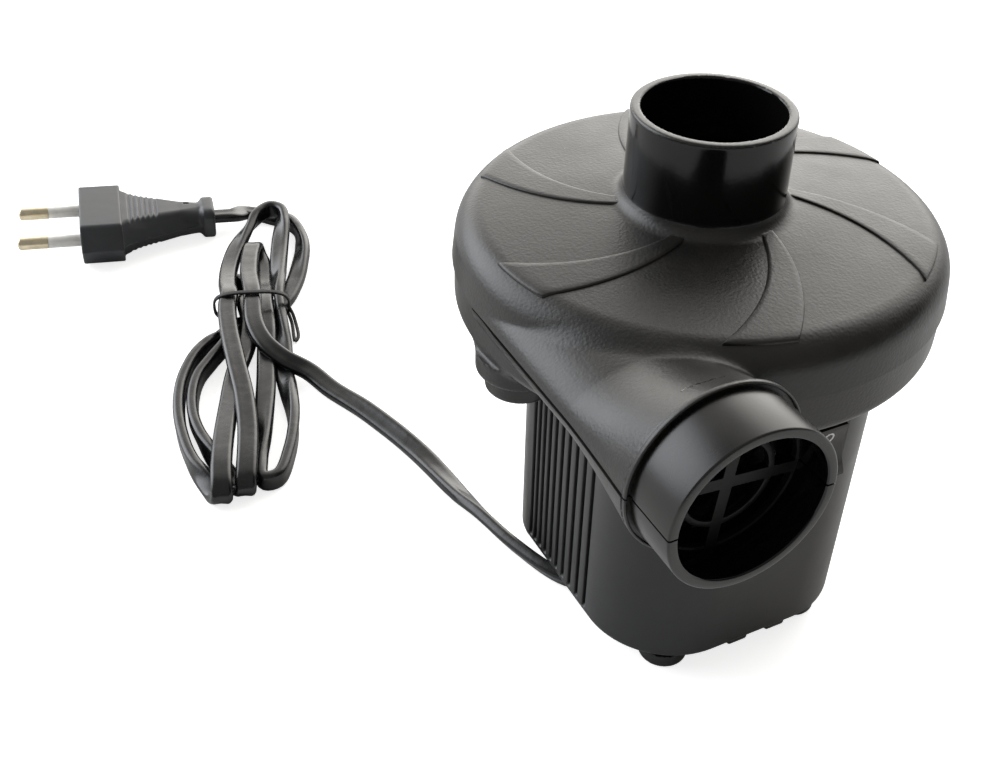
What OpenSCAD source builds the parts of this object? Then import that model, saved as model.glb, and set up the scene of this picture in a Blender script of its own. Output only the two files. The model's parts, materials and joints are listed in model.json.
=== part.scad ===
// Electric air pump for mattresses: a round fan housing on a motor casing,
// with an intake tube on top, an outlet tube at the side and a tied mains cable.
// Millimetres. +Z is up. The origin is on the fan axis, in the plane the feet rest on.
// The outlet points along -Y and the impeller turns counter-clockwise seen from above.

/* [Fan housing] */
// Radius of the round housing at its parting line
disc_r = 50; // [49:0.5:52]
// Height of the lower housing half
lower_h = 10.1; // [9.5:0.1:10.5]
// Height of the dome above the parting line, next to the intake tube
dome_h = 13.2; // [13:0.1:14]
// Height of the dome above the parting line, at its shoulder
shoulder_h = 10.8; // [10.4:0.1:11.2]
// Wall thickness of the housing halves
wall = 2.2; // [1.8:0.1:2.4]
// Height of the raised decorative blades on the dome
petal_h = 0.7; // [0.4:0.1:1]
// Number of raised decorative blades
petal_count = 6; // [4:1:7]

/* [Tubes] */
// Outer radius of the intake tube
intake_r = 16; // [15.5:0.1:16.2]
// Inner radius of the intake tube
intake_bore_r = 14; // [13.5:0.1:14.2]
// Height of the intake rim above the parting line
intake_top = 32.6; // [28:0.2:36]
// Outer radius of the outlet tube
outlet_r = 16.2; // [15.8:0.1:16.4]
// Inner radius of the outlet tube
outlet_bore_r = 14.2; // [13.8:0.1:14.4]
// Distance from the fan axis back to the outlet axis, along X
outlet_x = 34.05; // [33:0.05:35]
// Distance from the fan axis to the outlet's mouth, along Y
outlet_reach = 68.8; // [66:0.2:72]
// Distance from the fan axis to the collar where the outlet tube begins
collar_reach = 57.7; // [56:0.1:59]
// Radius of that collar
collar_r = 17.4; // [17:0.1:18]

/* [Motor casing] */
// Half of the casing's width
casing_half_w = 30.7; // [30:0.1:32]
// Distance from the fan axis to the casing's front face
casing_front = 38.5; // [37.5:0.1:39.5]
// Distance from the fan axis to the casing's back face
casing_back = 23.7; // [23:0.1:26]
// Radius of the two front corners
front_corner_r = 20; // [18:0.5:21]
// Radius of the two back corners
back_corner_r = 13.5; // [12.5:0.5:14]
// Height of the casing
casing_h = 66.7; // [64:0.1:70]
// Height of the feet under the casing
foot_h = 5.3; // [4:0.1:6]
// Radius of each foot
foot_r = 6.3; // [5.8:0.1:6.5]
// Number of grip grooves on each side face
groove_count = 10; // [6:1:10]

/* [Motor] */
// Outer radius of the motor can
can_r = 18.9; // [18.5:0.1:19.2]
// Length of the motor can
can_len = 51.9; // [50:0.1:54]
// Radius of the motor shaft
shaft_r = 1.6; // [1.5:0.05:2]
// Radius of the armature core
core_r = 13.6; // [13:0.1:13.7]
// Number of armature slots
slot_count = 8; // [5:1:9]

/* [Impeller] */
// Radius of the impeller
impeller_r = 36.5; // [34:0.5:37]
// Number of impeller blades
blade_count = 9; // [6:1:11]

/* [Switch] */
// Distance from the fan axis to the middle of the switch, along X
switch_x = 7.2; // [5:0.1:9]
// Height of the rocker's pivot
switch_z = 57.3; // [50:0.1:60]
// Half of the rocker's full swing, in degrees
rocker_tilt = 8; // [6:1:9]

/* [Mains cable and plug] */
// Width of the flat twin cable
cable_w = 5.4; // [5:0.1:5.8]
// Thickness of the flat twin cable
cable_t = 3; // [2.6:0.1:3.2]
// Radius of each plug pin
pin_r = 2; // [1.9:0.05:2.4]
// Length of each plug pin
pin_len = 19; // [18:0.5:20]
// Distance between the plug pins
pin_pitch = 18.6; // [17.5:0.1:19]

/* [Hidden] */
$fn = 96;
gap = 0.2;                                   // half of the groove between two shells
casing_top = foot_h + casing_h;
floor_z = casing_top + gap;                  // underside of the lower housing
part_z = floor_z + lower_h;                  // parting plane of the two housing halves
top_z = part_z + intake_top;
skirt_r = disc_r - 0.5;
shoulder_fillet = 5.94;
shoulder_z = shoulder_h - shoulder_fillet;
tube_fillet = 2.8;
boss_ring_r = 41.6;                          // circle of the housing screws
boss_angles = [184, 94, 4];
can_top = floor_z - 1.3;
can_bottom = can_top - can_len;
magnet_r = core_r + 0.7;
brush_z = can_bottom + 7;
commutator_r = 4.5;
front_foot = [17.4, -29.6];
back_foot = [22.4, 15.4];
foot_points = [for (sx = [-1, 1]) for (p = [front_foot, back_foot]) [sx * p[0], p[1]]];
plug_face = [-96.1, 195.2, 7.7];             // middle of the face the pins stand on
plug_turn = -11.2;                           // heading of the plug body, in degrees
plug_tilt = 3.5;                             // the pins point up by this, in degrees
plug_len = 42;
tie_at = [-58, 135];                         // where the tie holds the hank of cable
cable_hole = [-20, -10];                     // where the cable passes through the base plate
groove_depth = 1.3;

// ---------- shared helpers ----------

function arc(cx, cy, r, a0, a1, n) =
    [for (i = [0 : n]) let (a = a0 + (a1 - a0) * i / n) [cx + r * cos(a), cy + r * sin(a)]];

// A tube between two heights.
module ring(ro, ri, z0, z1) {
    translate([0, 0, z0]) difference() {
        cylinder(r = ro, h = z1 - z0);
        translate([0, 0, -1]) cylinder(r = ri, h = z1 - z0 + 2);
    }
}

// A cylinder whose axis runs along -Y from the point at.
module along_y(at, r, len) {
    translate(at) rotate([90, 0, 0]) cylinder(r = r, h = len);
}

// A pan-head screw standing head down, with its head's underside at the origin.
module screw(thread_r, len, head_r, head_h) {
    cylinder(r = thread_r, h = len, $fn = 32);
    translate([0, 0, -head_h]) difference() {
        cylinder(r = head_r, h = head_h, $fn = 40);
        for (a = [0, 90]) rotate(a) translate([-head_r * 0.6, -0.35, -1]) cube([head_r * 1.2, 0.7, 1.8]);
    }
}

// Outline of the casing, moved inwards by inset.
module casing_outline(inset) {
    w = casing_half_w - inset;
    fr = front_corner_r - inset;
    br = back_corner_r - inset;
    y0 = -casing_front + inset;
    y1 = casing_back - inset;
    polygon(concat(
        arc(w - br, y1 - br, br, 0, 90, 12), arc(-w + br, y1 - br, br, 90, 180, 12),
        arc(-w + fr, y0 + fr, fr, 180, 270, 16), arc(w - fr, y0 + fr, fr, 270, 360, 16)));
}

// A closed tube of an oval section swept along a path. The path is never parallel to up.
module sweep(path, half_w, half_t, up = [0.02, 0, 1], sides = 8) {
    last = len(path) - 1;
    function tangent(i) = let (d = path[min(i + 1, last)] - path[max(i - 1, 0)]) d / norm(d);
    function flat_side(t) = let (s = cross(t, up)) s / norm(s);
    points = [for (i = [0 : last]) let (t = tangent(i), s = flat_side(t), u = cross(s, t))
        for (k = [0 : sides - 1]) let (a = 360 * k / sides + 180 / sides)
            path[i] + s * half_w * cos(a) + u * half_t * sin(a)];
    walls = [for (i = [0 : last - 1]) for (k = [0 : sides - 1]) let (n = (k + 1) % sides)
        [i * sides + k, i * sides + n, (i + 1) * sides + n, (i + 1) * sides + k]];
    start_cap = [[for (k = [sides - 1 : -1 : 0]) k]];
    end_cap = [[for (k = [0 : sides - 1]) last * sides + k]];
    polyhedron(points, concat(start_cap, walls, end_cap), convexity = 6);
}

// Points of a smooth curve through the given points.
function smooth(p, steps) = concat(
    [for (i = [0 : len(p) - 2]) for (k = [0 : steps - 1])
        let (t = k / steps, a = p[max(i - 1, 0)], b = p[i], c = p[i + 1], d = p[min(i + 2, len(p) - 1)])
        0.5 * (2 * b + (c - a) * t + (2 * a - 5 * b + 4 * c - d) * t * t
            + (3 * b - a - 3 * c + d) * t * t * t)],
    [p[len(p) - 1]]);

// ---------- fan housing ----------

// Everything inside the outer surface of the dome, above the parting plane.
module dome_solid() {
    outline = concat(
        [[0, 0], [disc_r, 0]],
        arc(skirt_r - shoulder_fillet, shoulder_z, shoulder_fillet, 0, 84, 8),
        arc(intake_r + tube_fillet, dome_h + tube_fillet, tube_fillet, 265, 180, 6),
        [[intake_r, intake_top], [0, intake_top]]);
    translate([0, 0, part_z]) rotate_extrude() polygon(outline);
}

// The round space the impeller turns in, both halves.
module fan_cavity() {
    r = skirt_r - wall + 0.1;
    roof = shoulder_h - wall;
    outline = concat(
        [[0, -lower_h + wall], [r, -lower_h + wall]],
        arc(r - 4, roof - 4, 4, 0, 84, 5),
        [[intake_r + tube_fillet, dome_h - wall], [0, dome_h - wall]]);
    translate([0, 0, part_z]) rotate_extrude() polygon(outline);
}

// The duct from the fan space to the outlet, moved inwards by inset. Its underside steps up
// where it passes over the casing.
module duct(inset) {
    x0 = -disc_r - 0.1 + inset;
    x1 = -collar_r - inset;
    top = shoulder_h - inset;
    bottom = -lower_h + inset;
    edge = 5 - inset;
    difference() {
        translate([0, 0, part_z]) hull() {
            along_y([-outlet_x, -collar_reach + 5, 0], collar_r - inset * 1.25, 5);
            for (p = [[x0 + edge, top - edge], [x1 - edge, top - edge],
                      [x0 + edge, bottom + edge], [x1 - edge, bottom + edge]])
                along_y([p[0], -2, p[1]], edge, casing_front - 2, $fn = 32);
        }
        translate([0, 0, floor_z - 20]) linear_extrude(20 + inset) casing_outline(-0.4 - inset);
    }
}

// The outlet tube and duct as a solid, both halves.
module outlet_solid() {
    duct(0);
    along_y([-outlet_x, -collar_reach + 4, part_z], outlet_r, outlet_reach - collar_reach + 4);
}

// The air path through the duct and outlet tube.
module outlet_space() {
    duct(wall);
    along_y([-outlet_x, -collar_reach + 6, part_z], outlet_bore_r, outlet_reach - collar_reach + 10);
    along_y([-outlet_x, -collar_reach - 2.0, part_z], outlet_bore_r + 0.6, 1.6);
}

// Points of an edge that starts at an angle next to the intake tube and sweeps back as it goes out.
function petal_edge(start, back, steps = 8) =
    [for (i = [0 : steps]) let (f = i / steps, a = start - back * pow(f, 0.9), r = 18 + 29 * f)
        r * [cos(a), sin(a)]];

// One raised blade on the dome, as a flat outline.
module petal_outline() {
    lead = petal_edge(-75, 27);
    trail = petal_edge(-85, 34);
    polygon(concat(lead, [for (i = [len(trail) - 1 : -1 : 0]) trail[i]]));
}

module petals() {
    outline = concat(
        arc(skirt_r - shoulder_fillet, shoulder_z, shoulder_fillet + petal_h, 30, 84, 5),
        [[17.5, dome_h + petal_h], [17.5, dome_h - 1], [44, shoulder_h - 1.5], [46, shoulder_z + 2]]);
    intersection() {
        translate([0, 0, part_z]) rotate_extrude() polygon(outline);
        translate([0, 0, part_z]) linear_extrude(intake_top)
            for (i = [0 : petal_count - 1]) rotate(i * 360 / petal_count) petal_outline();
    }
}

module upper_half() {
    translate([-100, -100, part_z + gap]) cube([200, 200, 100]);
}

module lower_half() {
    translate([-100, -100, part_z - gap - 100]) cube([200, 200, 100]);
}

module at_bosses() {
    for (a = boss_angles) rotate(a) translate([boss_ring_r, 0, 0]) children();
}

module upper_cover() {
    color([0.11, 0.11, 0.11]) difference() {
        union() {
            difference() {
                intersection() {
                    union() {
                        dome_solid();
                        outlet_solid();
                        petals();
                    }
                    upper_half();
                }
                fan_cavity();
                outlet_space();
                translate([0, 0, part_z]) cylinder(r = intake_bore_r, h = 60);
                ring(intake_bore_r + 0.6, 1, part_z + 16, part_z + 17.6);
            }
            at_bosses() translate([0, 0, floor_z + wall + 0.3])
                cylinder(r = 3.4, h = lower_h + shoulder_h - wall - 1);
        }
        at_bosses() translate([0, 0, floor_z]) cylinder(r = 1.45, h = 16, $fn = 32);
    }
}

module lower_housing() {
    outline = concat(
        [[0, -lower_h]],
        arc(skirt_r - 3, -lower_h + 3, 3, 270, 360, 6),
        [[skirt_r, 0], [0, 0]]);
    tongue_r = skirt_r - wall - 0.1;
    color([0.12, 0.12, 0.12]) difference() {
        union() {
            difference() {
                intersection() {
                    union() {
                        translate([0, 0, part_z]) rotate_extrude() polygon(outline);
                        outlet_solid();
                    }
                    lower_half();
                }
                fan_cavity();
                outlet_space();
            }
            difference() {
                ring(tongue_r, tongue_r - 1, part_z - lower_h + 1, part_z + 1.6);
                outlet_space();
            }
            at_bosses() {
                translate([0, 0, floor_z - 7.9]) cylinder(r = 7.1, h = 8.5);
                translate([0, 0, floor_z - 3.4]) cylinder(r = 9, h = 4);
            }
        }
        translate([0, 0, floor_z - 1]) cylinder(r = 6.6, h = 10);
        at_bosses() {
            translate([0, 0, floor_z - 10]) cylinder(r = 3.2, h = 6, $fn = 40);
            translate([0, 0, floor_z - 10]) cylinder(r = 1.7, h = 20, $fn = 32);
            translate([0, 0, floor_z + wall - 0.3]) cylinder(r = 3.55, h = 12);
        }
        for (s = [-1, 1]) translate([s * 12.5, 0, floor_z - 1]) {
            cylinder(r = 1.7, h = 10, $fn = 32);
            translate([0, 0, 2.1]) cylinder(r = 3.2, h = 5, $fn = 40);
        }
        for (p = foot_points) translate([p[0], p[1], floor_z - 1]) {
            cylinder(r = 1.7, h = 10, $fn = 32);
            translate([0, 0, 2.1]) cylinder(r = 3.2, h = 5, $fn = 40);
        }
    }
}

// A finger guard: a cross with a ring, in a thin rim. Its face looks along +Z.
module guard(rim_r) {
    difference() {
        cylinder(r = rim_r, h = 1.4);
        translate([0, 0, -1]) cylinder(r = rim_r - 1, h = 4);
    }
    difference() {
        cylinder(r = 9.3, h = 1.4);
        translate([0, 0, -1]) cylinder(r = 8.1, h = 4);
    }
    for (a = [0, 90]) rotate(a) translate([-rim_r + 0.5, -1.2, 0]) cube([2 * rim_r - 1, 2.4, 1.4]);
}

module intake_guard() {
    color([0.09, 0.09, 0.09]) translate([0, 0, part_z + 16.1]) rotate(20) guard(intake_bore_r + 0.5);
}

module outlet_guard() {
    color([0.09, 0.09, 0.09]) translate([-outlet_x, -collar_reach - 2.1, part_z])
        rotate([90, 6, 0]) guard(outlet_bore_r + 0.5);
}

module housing_screws() {
    color("silver") at_bosses() translate([0, 0, floor_z - 4]) screw(1.4, 16, 2.8, 1.8);
}

// ---------- rotor ----------

module blade(inner_r, outer_r, thick, sweep_deg, h) {
    steps = 8;
    function at(i) =
        let (f = i / steps, r = inner_r + (outer_r - inner_r) * f, a = -sweep_deg * pow(f, 0.8))
        [r * cos(a), r * sin(a)];
    function side(i) =
        let (d = at(min(i + 1, steps)) - at(max(i - 1, 0)))
        [-d[1], d[0]] / norm(d) * thick / 2;
    linear_extrude(h) polygon(concat([for (i = [0 : steps]) at(i) + side(i)],
        [for (i = [steps : -1 : 0]) at(i) - side(i)]));
}

module impeller() {
    base = floor_z + wall + 1.6;
    color([0.75, 0.75, 0.72]) {
        difference() {
            union() {
                translate([0, 0, base]) cylinder(r = impeller_r, h = 1.5);
                translate([0, 0, base]) cylinder(r = 7, h = 11);
                for (i = [0 : blade_count - 1]) rotate(i * 360 / blade_count)
                    translate([0, 0, base]) blade(12, impeller_r - 0.4, 1.4, 42, 13);
            }
            translate([0, 0, base - 1]) cylinder(r = 4.02, h = 20);
        }
    }
}

module impeller_bushing() {
    base = floor_z + wall + 1.6;
    color("gold") ring(4, shaft_r + 0.02, base, base + 11);
}

module motor_shaft() {
    bottom = can_bottom - 5.5;
    color("silver") translate([0, 0, bottom])
        cylinder(r = shaft_r, h = floor_z + wall + 12 - bottom, $fn = 48);
}

// The core's plan, with slots for the windings.
module core_outline(slots) {
    difference() {
        circle(r = core_r);
        circle(r = shaft_r + 0.02);
        if (slots) for (i = [0 : slot_count - 1]) rotate(i * 360 / slot_count) slot_outline(0);
    }
}

module slot_outline(inset) {
    translate([core_r - 3.6, 0]) circle(r = 2.5 - inset, $fn = 32);
    if (inset == 0) translate([core_r - 3, -0.6]) square([4, 1.2]);
}

module armature_core() {
    color([0.45, 0.45, 0.47]) translate([0, 0, can_bottom + 16]) linear_extrude(24) core_outline(true);
}

module armature_windings() {
    base = can_bottom + 16;
    color([0.72, 0.35, 0.12]) {
        for (z = [base - 4.6, base + 24.1]) translate([0, 0, z]) rotate_extrude()
            polygon(concat(arc(5.4, 1.5, 1.4, 180, 270, 4), arc(core_r - 2.6, 1.5, 1.4, 270, 360, 4),
                arc(core_r - 2.6, 3, 1.4, 0, 90, 4), arc(5.4, 3, 1.4, 90, 180, 4)));
        for (i = [0 : slot_count - 1]) rotate(i * 360 / slot_count)
            translate([0, 0, base - 1]) linear_extrude(26) slot_outline(0.15);
    }
}

module commutator() {
    z0 = can_bottom + 3;
    color([0.8, 0.45, 0.25]) translate([0, 0, z0]) linear_extrude(8) difference() {
        circle(r = commutator_r);
        circle(r = shaft_r + 0.02);
        for (i = [0 : slot_count - 1]) rotate((i + 0.5) * 360 / slot_count)
            translate([commutator_r - 0.7, -0.2]) square([2, 0.4]);
    }
}

// ---------- motor ----------

module motor_can() {
    color([0.6, 0.6, 0.6]) difference() {
        union() {
            ring(can_r, can_r - 1, can_bottom, can_top);
            translate([0, 0, can_top - 1.2]) cylinder(r = can_r, h = 1.2);
            translate([0, 0, can_top - 5]) cylinder(r = 6, h = 7);
        }
        translate([0, 0, can_top - 6]) cylinder(r = 4.02, h = 6.5);
        translate([0, 0, can_top - 6]) cylinder(r = 2.2, h = 12);
        for (s = [-1, 1]) translate([s * 12.5, 0, can_top - 3]) cylinder(r = 1.3, h = 5, $fn = 32);
        for (a = [45 : 90 : 315]) rotate(a) {
            translate([12, 0, can_top - 3]) cylinder(r = 2, h = 5, $fn = 32);
            translate([can_r - 3, -3, can_bottom + 5]) cube([6, 6, 6]);
        }
    }
}

module field_magnets() {
    color([0.25, 0.25, 0.27]) for (a = [0, 180]) rotate(a) difference() {
        ring(can_r - 1.02, magnet_r, can_bottom + 13, can_bottom + 43);
        for (s = [0, 1]) mirror([s, 0, 0]) rotate(25) translate([-60, -120, can_bottom])
            cube([120, 120, 60]);
    }
}

module motor_end_bell() {
    color([0.2, 0.2, 0.22]) difference() {
        union() {
            translate([0, 0, can_bottom - 3.4]) cylinder(r = can_r, h = 3.4);
            ring(can_r - 1.05, can_r - 2.6, can_bottom - 0.5, can_bottom + 3.5);
            translate([0, 0, can_bottom - 6]) cylinder(r = 6, h = 6);
            for (s = [-1, 1]) translate([s * 12 - 4.6, -4.4, can_bottom - 1]) cube([9.2, 8.8, 4.7]);
        }
        translate([0, 0, can_bottom - 5]) cylinder(r = 4.02, h = 6);
        translate([0, 0, can_bottom - 8]) cylinder(r = 2.2, h = 12);
        translate([0, 0, can_bottom + 2]) cylinder(r = commutator_r + 1, h = 4);
        for (s = [-1, 1]) translate([s * 12 - 1.6, 8.5, can_bottom - 8]) cube([3.2, 1, 12]);
    }
}

module top_bearing() {
    color([0.7, 0.55, 0.3]) ring(4, shaft_r + 0.03, can_top - 5, can_top + 0.4);
}

module bottom_bearing() {
    color([0.7, 0.55, 0.3]) ring(4, shaft_r + 0.03, can_bottom - 4.9, can_bottom - 0.2);
}

// A carbon brush on the +X side. Its inner end follows the commutator.
module brush() {
    color([0.18, 0.18, 0.18]) difference() {
        translate([commutator_r - 0.6, -2, brush_z - 2.5]) cube([8.6, 4, 5]);
        translate([0, 0, brush_z - 5]) cylinder(r = commutator_r + 0.03, h = 10);
    }
}

module brush_holder() {
    color("gold") translate([6.4, 0, brush_z]) difference() {
        translate([0, -2.7, -3.2]) cube([10.8, 5.4, 6.4]);
        translate([-1, -2.05, -2.55]) cube([11.2, 4.1, 5.1]);
    }
}

module brush_spring() {
    turns = 4;
    coil = [for (i = [0 : 16 * turns]) [3.3 * i / (16 * turns), 1.4 * cos(i * 22.5), 1.4 * sin(i * 22.5)]];
    color("silver") translate([commutator_r + 8.4, 0, brush_z]) sweep(coil, 0.3, 0.3, up = [1, 0, 0]);
}

module left_brush() { mirror([1, 0, 0]) brush(); }
module right_brush() { brush(); }
module left_brush_holder() { mirror([1, 0, 0]) brush_holder(); }
module right_brush_holder() { brush_holder(); }
module left_brush_spring() { mirror([1, 0, 0]) brush_spring(); }
module right_brush_spring() { brush_spring(); }

module motor_terminals() {
    color("gold") for (s = [-1, 1]) translate([s * 12 - 1.5, 8.7, can_bottom - 6.4]) cube([3, 0.6, 9.5]);
}

module motor_damper() {
    color([0.05, 0.05, 0.05]) difference() {
        ring(can_r - 1.2, 6.6, can_top + 0.02, floor_z - 0.02);
        for (s = [-1, 1]) translate([s * 12.5, 0, can_top - 1]) cylinder(r = 1.7, h = 4, $fn = 32);
    }
}

module motor_screws() {
    color("silver") for (s = [-1, 1]) translate([s * 12.5, 0, floor_z + 1.2])
        mirror([0, 0, 1]) screw(1.25, 4.4, 2.8, 0.9);
}

// ---------- electrics in the casing ----------

module rectifier_board() {
    color([0.1, 0.35, 0.15]) translate([-12, -27.5, 11]) cube([24, 1.5, 20]);
}

module rectifier_diodes() {
    color([0.12, 0.12, 0.12]) for (x = [-9.5 : 3.6 : 1.5])
        translate([x, -29.4, 14]) cylinder(r = 1.3, h = 6, $fn = 32);
}

module suppression_capacitor() {
    color([0.75, 0.6, 0.1]) translate([3, -34, 13]) cube([8.5, 6.3, 13]);
}

// The grip grooves in both side faces. They stand a little further apart towards the front.
module grooves() {
    groove_w = 1.2;
    function groove_y(k) = 9.2 - 2 * k - 0.09 * k * k;
    for (s = [-1, 1]) for (k = [0 : groove_count - 1])
        translate([s * (casing_half_w + 1) - 1 - groove_depth, groove_y(k) - groove_w / 2, foot_h + 1.5])
            cube([2 + 2 * groove_depth, groove_w, casing_h]);
}

module motor_casing() {
    color([0.1, 0.1, 0.1]) difference() {
        union() {
            translate([0, 0, foot_h]) linear_extrude(casing_h) difference() {
                casing_outline(0);
                casing_outline(wall + 0.8);
            }
            translate([0, 0, casing_top - 2]) linear_extrude(2) casing_outline(1);
            for (p = foot_points) translate([p[0], p[1], foot_h + 2.4]) cylinder(r = 5, h = casing_h - 2.4);
        }
        grooves();
        translate([0, 0, casing_top - 5]) cylinder(r = can_r + 0.8, h = 10);
        for (p = foot_points) translate([p[0], p[1], 0]) cylinder(r = 1.45, h = 200, $fn = 32);
        translate([switch_x - 5, -casing_front - 5, switch_z - 7]) cube([10, 12, 14]);
    }
}

module casing_screws() {
    color("silver") for (p = foot_points) translate([p[0], p[1], floor_z + 1.2])
        mirror([0, 0, 1]) screw(1.4, 12, 2.8, 0.9);
}

module base_plate() {
    color([0.09, 0.09, 0.09]) difference() {
        union() {
            translate([0, 0, foot_h]) linear_extrude(2.2) casing_outline(wall + 1);
            for (p = foot_points) translate([p[0], p[1], 0]) {
                cylinder(r = foot_r, h = foot_h - 0.05);
                translate([0, 0, foot_h - 1]) cylinder(r = foot_r - 3.4, h = 2);
            }
            for (x = [-3.4, 6.6]) {
                translate([x - 2.6, -casing_front + 0.6, foot_h - 1.3]) cube([5.2, 6, 1.25]);
                translate([x - 2, -casing_front + 4.4, foot_h - 1]) cube([4, 2, 2]);
            }
        }
        for (p = foot_points) translate([p[0], p[1], -1]) {
            cylinder(r = 3.3, h = 4.4, $fn = 40);
            cylinder(r = 1.7, h = 12, $fn = 32);
        }
        translate([cable_hole[0], cable_hole[1], 0]) cylinder(r = 3.6, h = 12, $fn = 48);
        at_clamp_screws() cylinder(r = 0.7, h = 12, $fn = 24);
        for (x = [-6 : 3 : 15]) translate([x - 0.8, -10, 0]) cube([1.6, 24, 12]);
    }
}

module base_screws() {
    color("silver") for (p = foot_points) translate([p[0], p[1], 3.38]) screw(1.4, 9, 2.8, 1.8);
}

module switch_body() {
    color([0.07, 0.07, 0.07]) translate([switch_x, -casing_front, switch_z]) difference() {
        union() {
            translate([-5.3, -1.4, -7.7]) cube([10.6, 1.38, 15.4]);
            translate([-4.9, -1.4, -6.9]) cube([9.8, 13, 13.8]);
        }
        translate([-4.35, -4, -6.45]) cube([8.7, 9, 12.9]);
        rotate([0, 90, 0]) cylinder(r = 0.85, h = 9.4, center = true, $fn = 32);
    }
}

module rocker_button() {
    face = 3.1;
    color([0.1, 0.09, 0.08]) translate([switch_x, -casing_front, switch_z]) rotate([-rocker_tilt, 0, 0]) {
        translate([-4.15, 0, 0]) rotate([90, 0, 90]) linear_extrude(8.3) polygon(concat(
            [[2.4, -3.5], [2.4, 3.5], [-face + 1, 6.15], [-face, 5.9]],
            [for (a = [60 : -20 : -60]) [-face + 1.1 * cos(a * 1.5), a / 60 * 5.2]],
            [[-face, -5.9], [-face + 1, -6.15]]));
        rotate([0, 90, 0]) cylinder(r = 0.8, h = 9.2, center = true, $fn = 32);
    }
}

module switch_terminals() {
    color("gold") for (z = [-4, 4]) translate([switch_x - 1.6, -casing_front + 11.62, switch_z + z - 0.4])
        cube([3.2, 6, 0.8]);
}

// Two insulated wires between the switch and the board.
module switch_wires() {
    color([0.6, 0.1, 0.1]) for (s = [-1, 1])
        sweep(smooth([[9.8, -22, switch_z + 4 * s], [10.4 + s * 0.9, -23.5, 46], [6 + s * 2, -30, 38],
            [-4 + s * 3, -30.5, 33], [-6 + s * 3, -29.4, 23]], 6), 0.7, 0.7);
}

module motor_wires() {
    color([0.1, 0.1, 0.5]) for (s = [-1, 1])
        sweep(smooth([[s * 9, -25.2, 15], [s * 11, -20, 10.4], [s * 11, -8, 9.6],
            [s * 11.5, 4, 9.6], [s * 13, 10.8, 12.4]], 6), 0.7, 0.7);
}

module at_clamp_screws() {
    for (s = [-1, 1]) translate([cable_hole[0], cable_hole[1] + s * 5.7, 0]) children();
}

module cord_clamp() {
    color([0.15, 0.15, 0.15]) difference() {
        translate([cable_hole[0] - 3.5, cable_hole[1] - 7.3, 8.6]) cube([7, 14.6, 4]);
        translate([cable_hole[0] - 1.8, cable_hole[1] - 3, 8]) cube([3.6, 6, 6]);
        at_clamp_screws() cylinder(r = 0.75, h = 30, $fn = 24);
    }
}

module cord_clamp_screws() {
    color("silver") at_clamp_screws() translate([0, 0, 12.62]) mirror([0, 0, 1]) screw(0.65, 7, 1.3, 0.8);
}

// ---------- mains cable ----------

module cable_grommet() {
    color([0.05, 0.05, 0.05]) translate([cable_hole[0], cable_hole[1], 0]) {
        ring(3.55, 3.0, foot_h - 0.2, foot_h + 3.2);
        ring(5, 3.0, foot_h + 2.22, foot_h + 3.2);
    }
}

// One lobe of the hank: out from the tie and back, crossing to the next place in the tie.
function lobe(dir, reach, width, s0, s1, z0, z1, steps) =
    let (along = [cos(dir), sin(dir)], across = [-sin(dir), cos(dir)])
    [for (i = [0 : steps - 1]) let (a = 180 * i / steps, f = (1 - cos(a)) / 2,
        p = tie_at + along * reach * sin(a) + across * width * sin(2 * a)
            + [sin(70), -cos(70)] * (s0 + (s1 - s0) * f))
        [p[0], p[1], z0 + (z1 - z0) * f]];

up_dir = 65;
down_dir = 250;
plug_dir = [cos(plug_turn) * cos(plug_tilt), sin(plug_turn) * cos(plug_tilt), -sin(plug_tilt)];
cable_run = smooth([[-20, -10, 22], [-20, -10, 12], [-20, -10, 5.5], [-21.2, -9.2, 2.6],
    [-24.5, -6.3, 1.9], [-28.6, -0.5, 1.9], [-32.3, 12, 1.9], [-37.9, 42, 1.9], [-46, 73, 1.9],
    [-56, 102, 1.9], [-61, 122, 1.8]], 6);
hank = concat(
    lobe(up_dir, 56, 7, -5.8, 0, 2.2, 2.2, 18), lobe(down_dir, 86, 13, 0, 5.8, 2.2, 2.2, 22),
    lobe(up_dir, 44, 9, 5.8, -2.9, 2.2, 5.4, 18), lobe(down_dir, 79, 17, -2.9, 2.9, 5.4, 5.4, 22));
cable_end = smooth([[tie_at[0] + 2.7, tie_at[1] - 1, 5.4], [-49, 160, 4.4], [-41, 177, 3.6],
    plug_face + (plug_len + 12) * plug_dir + [3, 0, 0], plug_face + (plug_len + 5) * plug_dir,
    plug_face + (plug_len - 2.6) * plug_dir], 5);

module power_cable() {
    color([0.06, 0.06, 0.07]) sweep(concat(cable_run, hank, cable_end), cable_w / 2, cable_t / 2);
}

module cable_tie() {
    color([0.03, 0.03, 0.03]) translate([tie_at[0], tie_at[1], 0.05]) rotate([90, 0, -20])
        translate([0, 0, -1.2]) linear_extrude(2.4) difference() {
            translate([-10, 0]) square([20, 7.9]);
            translate([-9.2, 0.55]) square([18.4, 6.6]);
        }
}

// Places its children in the plug's own frame: +X runs from the pins to the cable.
module in_plug() {
    translate(plug_face) rotate([0, 0, plug_turn]) rotate([0, plug_tilt, 0]) children();
}

// A slice of the plug body: a flat hexagon of the given width and thickness.
module plug_slice(x, w, t) {
    flat = w / 2 - t / 3;
    translate([x, 0, 0]) rotate([90, 0, 90]) linear_extrude(0.6) polygon([[-w / 2, 0], [-flat, t / 2],
        [flat, t / 2], [w / 2, 0], [flat, -t / 2], [-flat, -t / 2]]);
}

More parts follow.
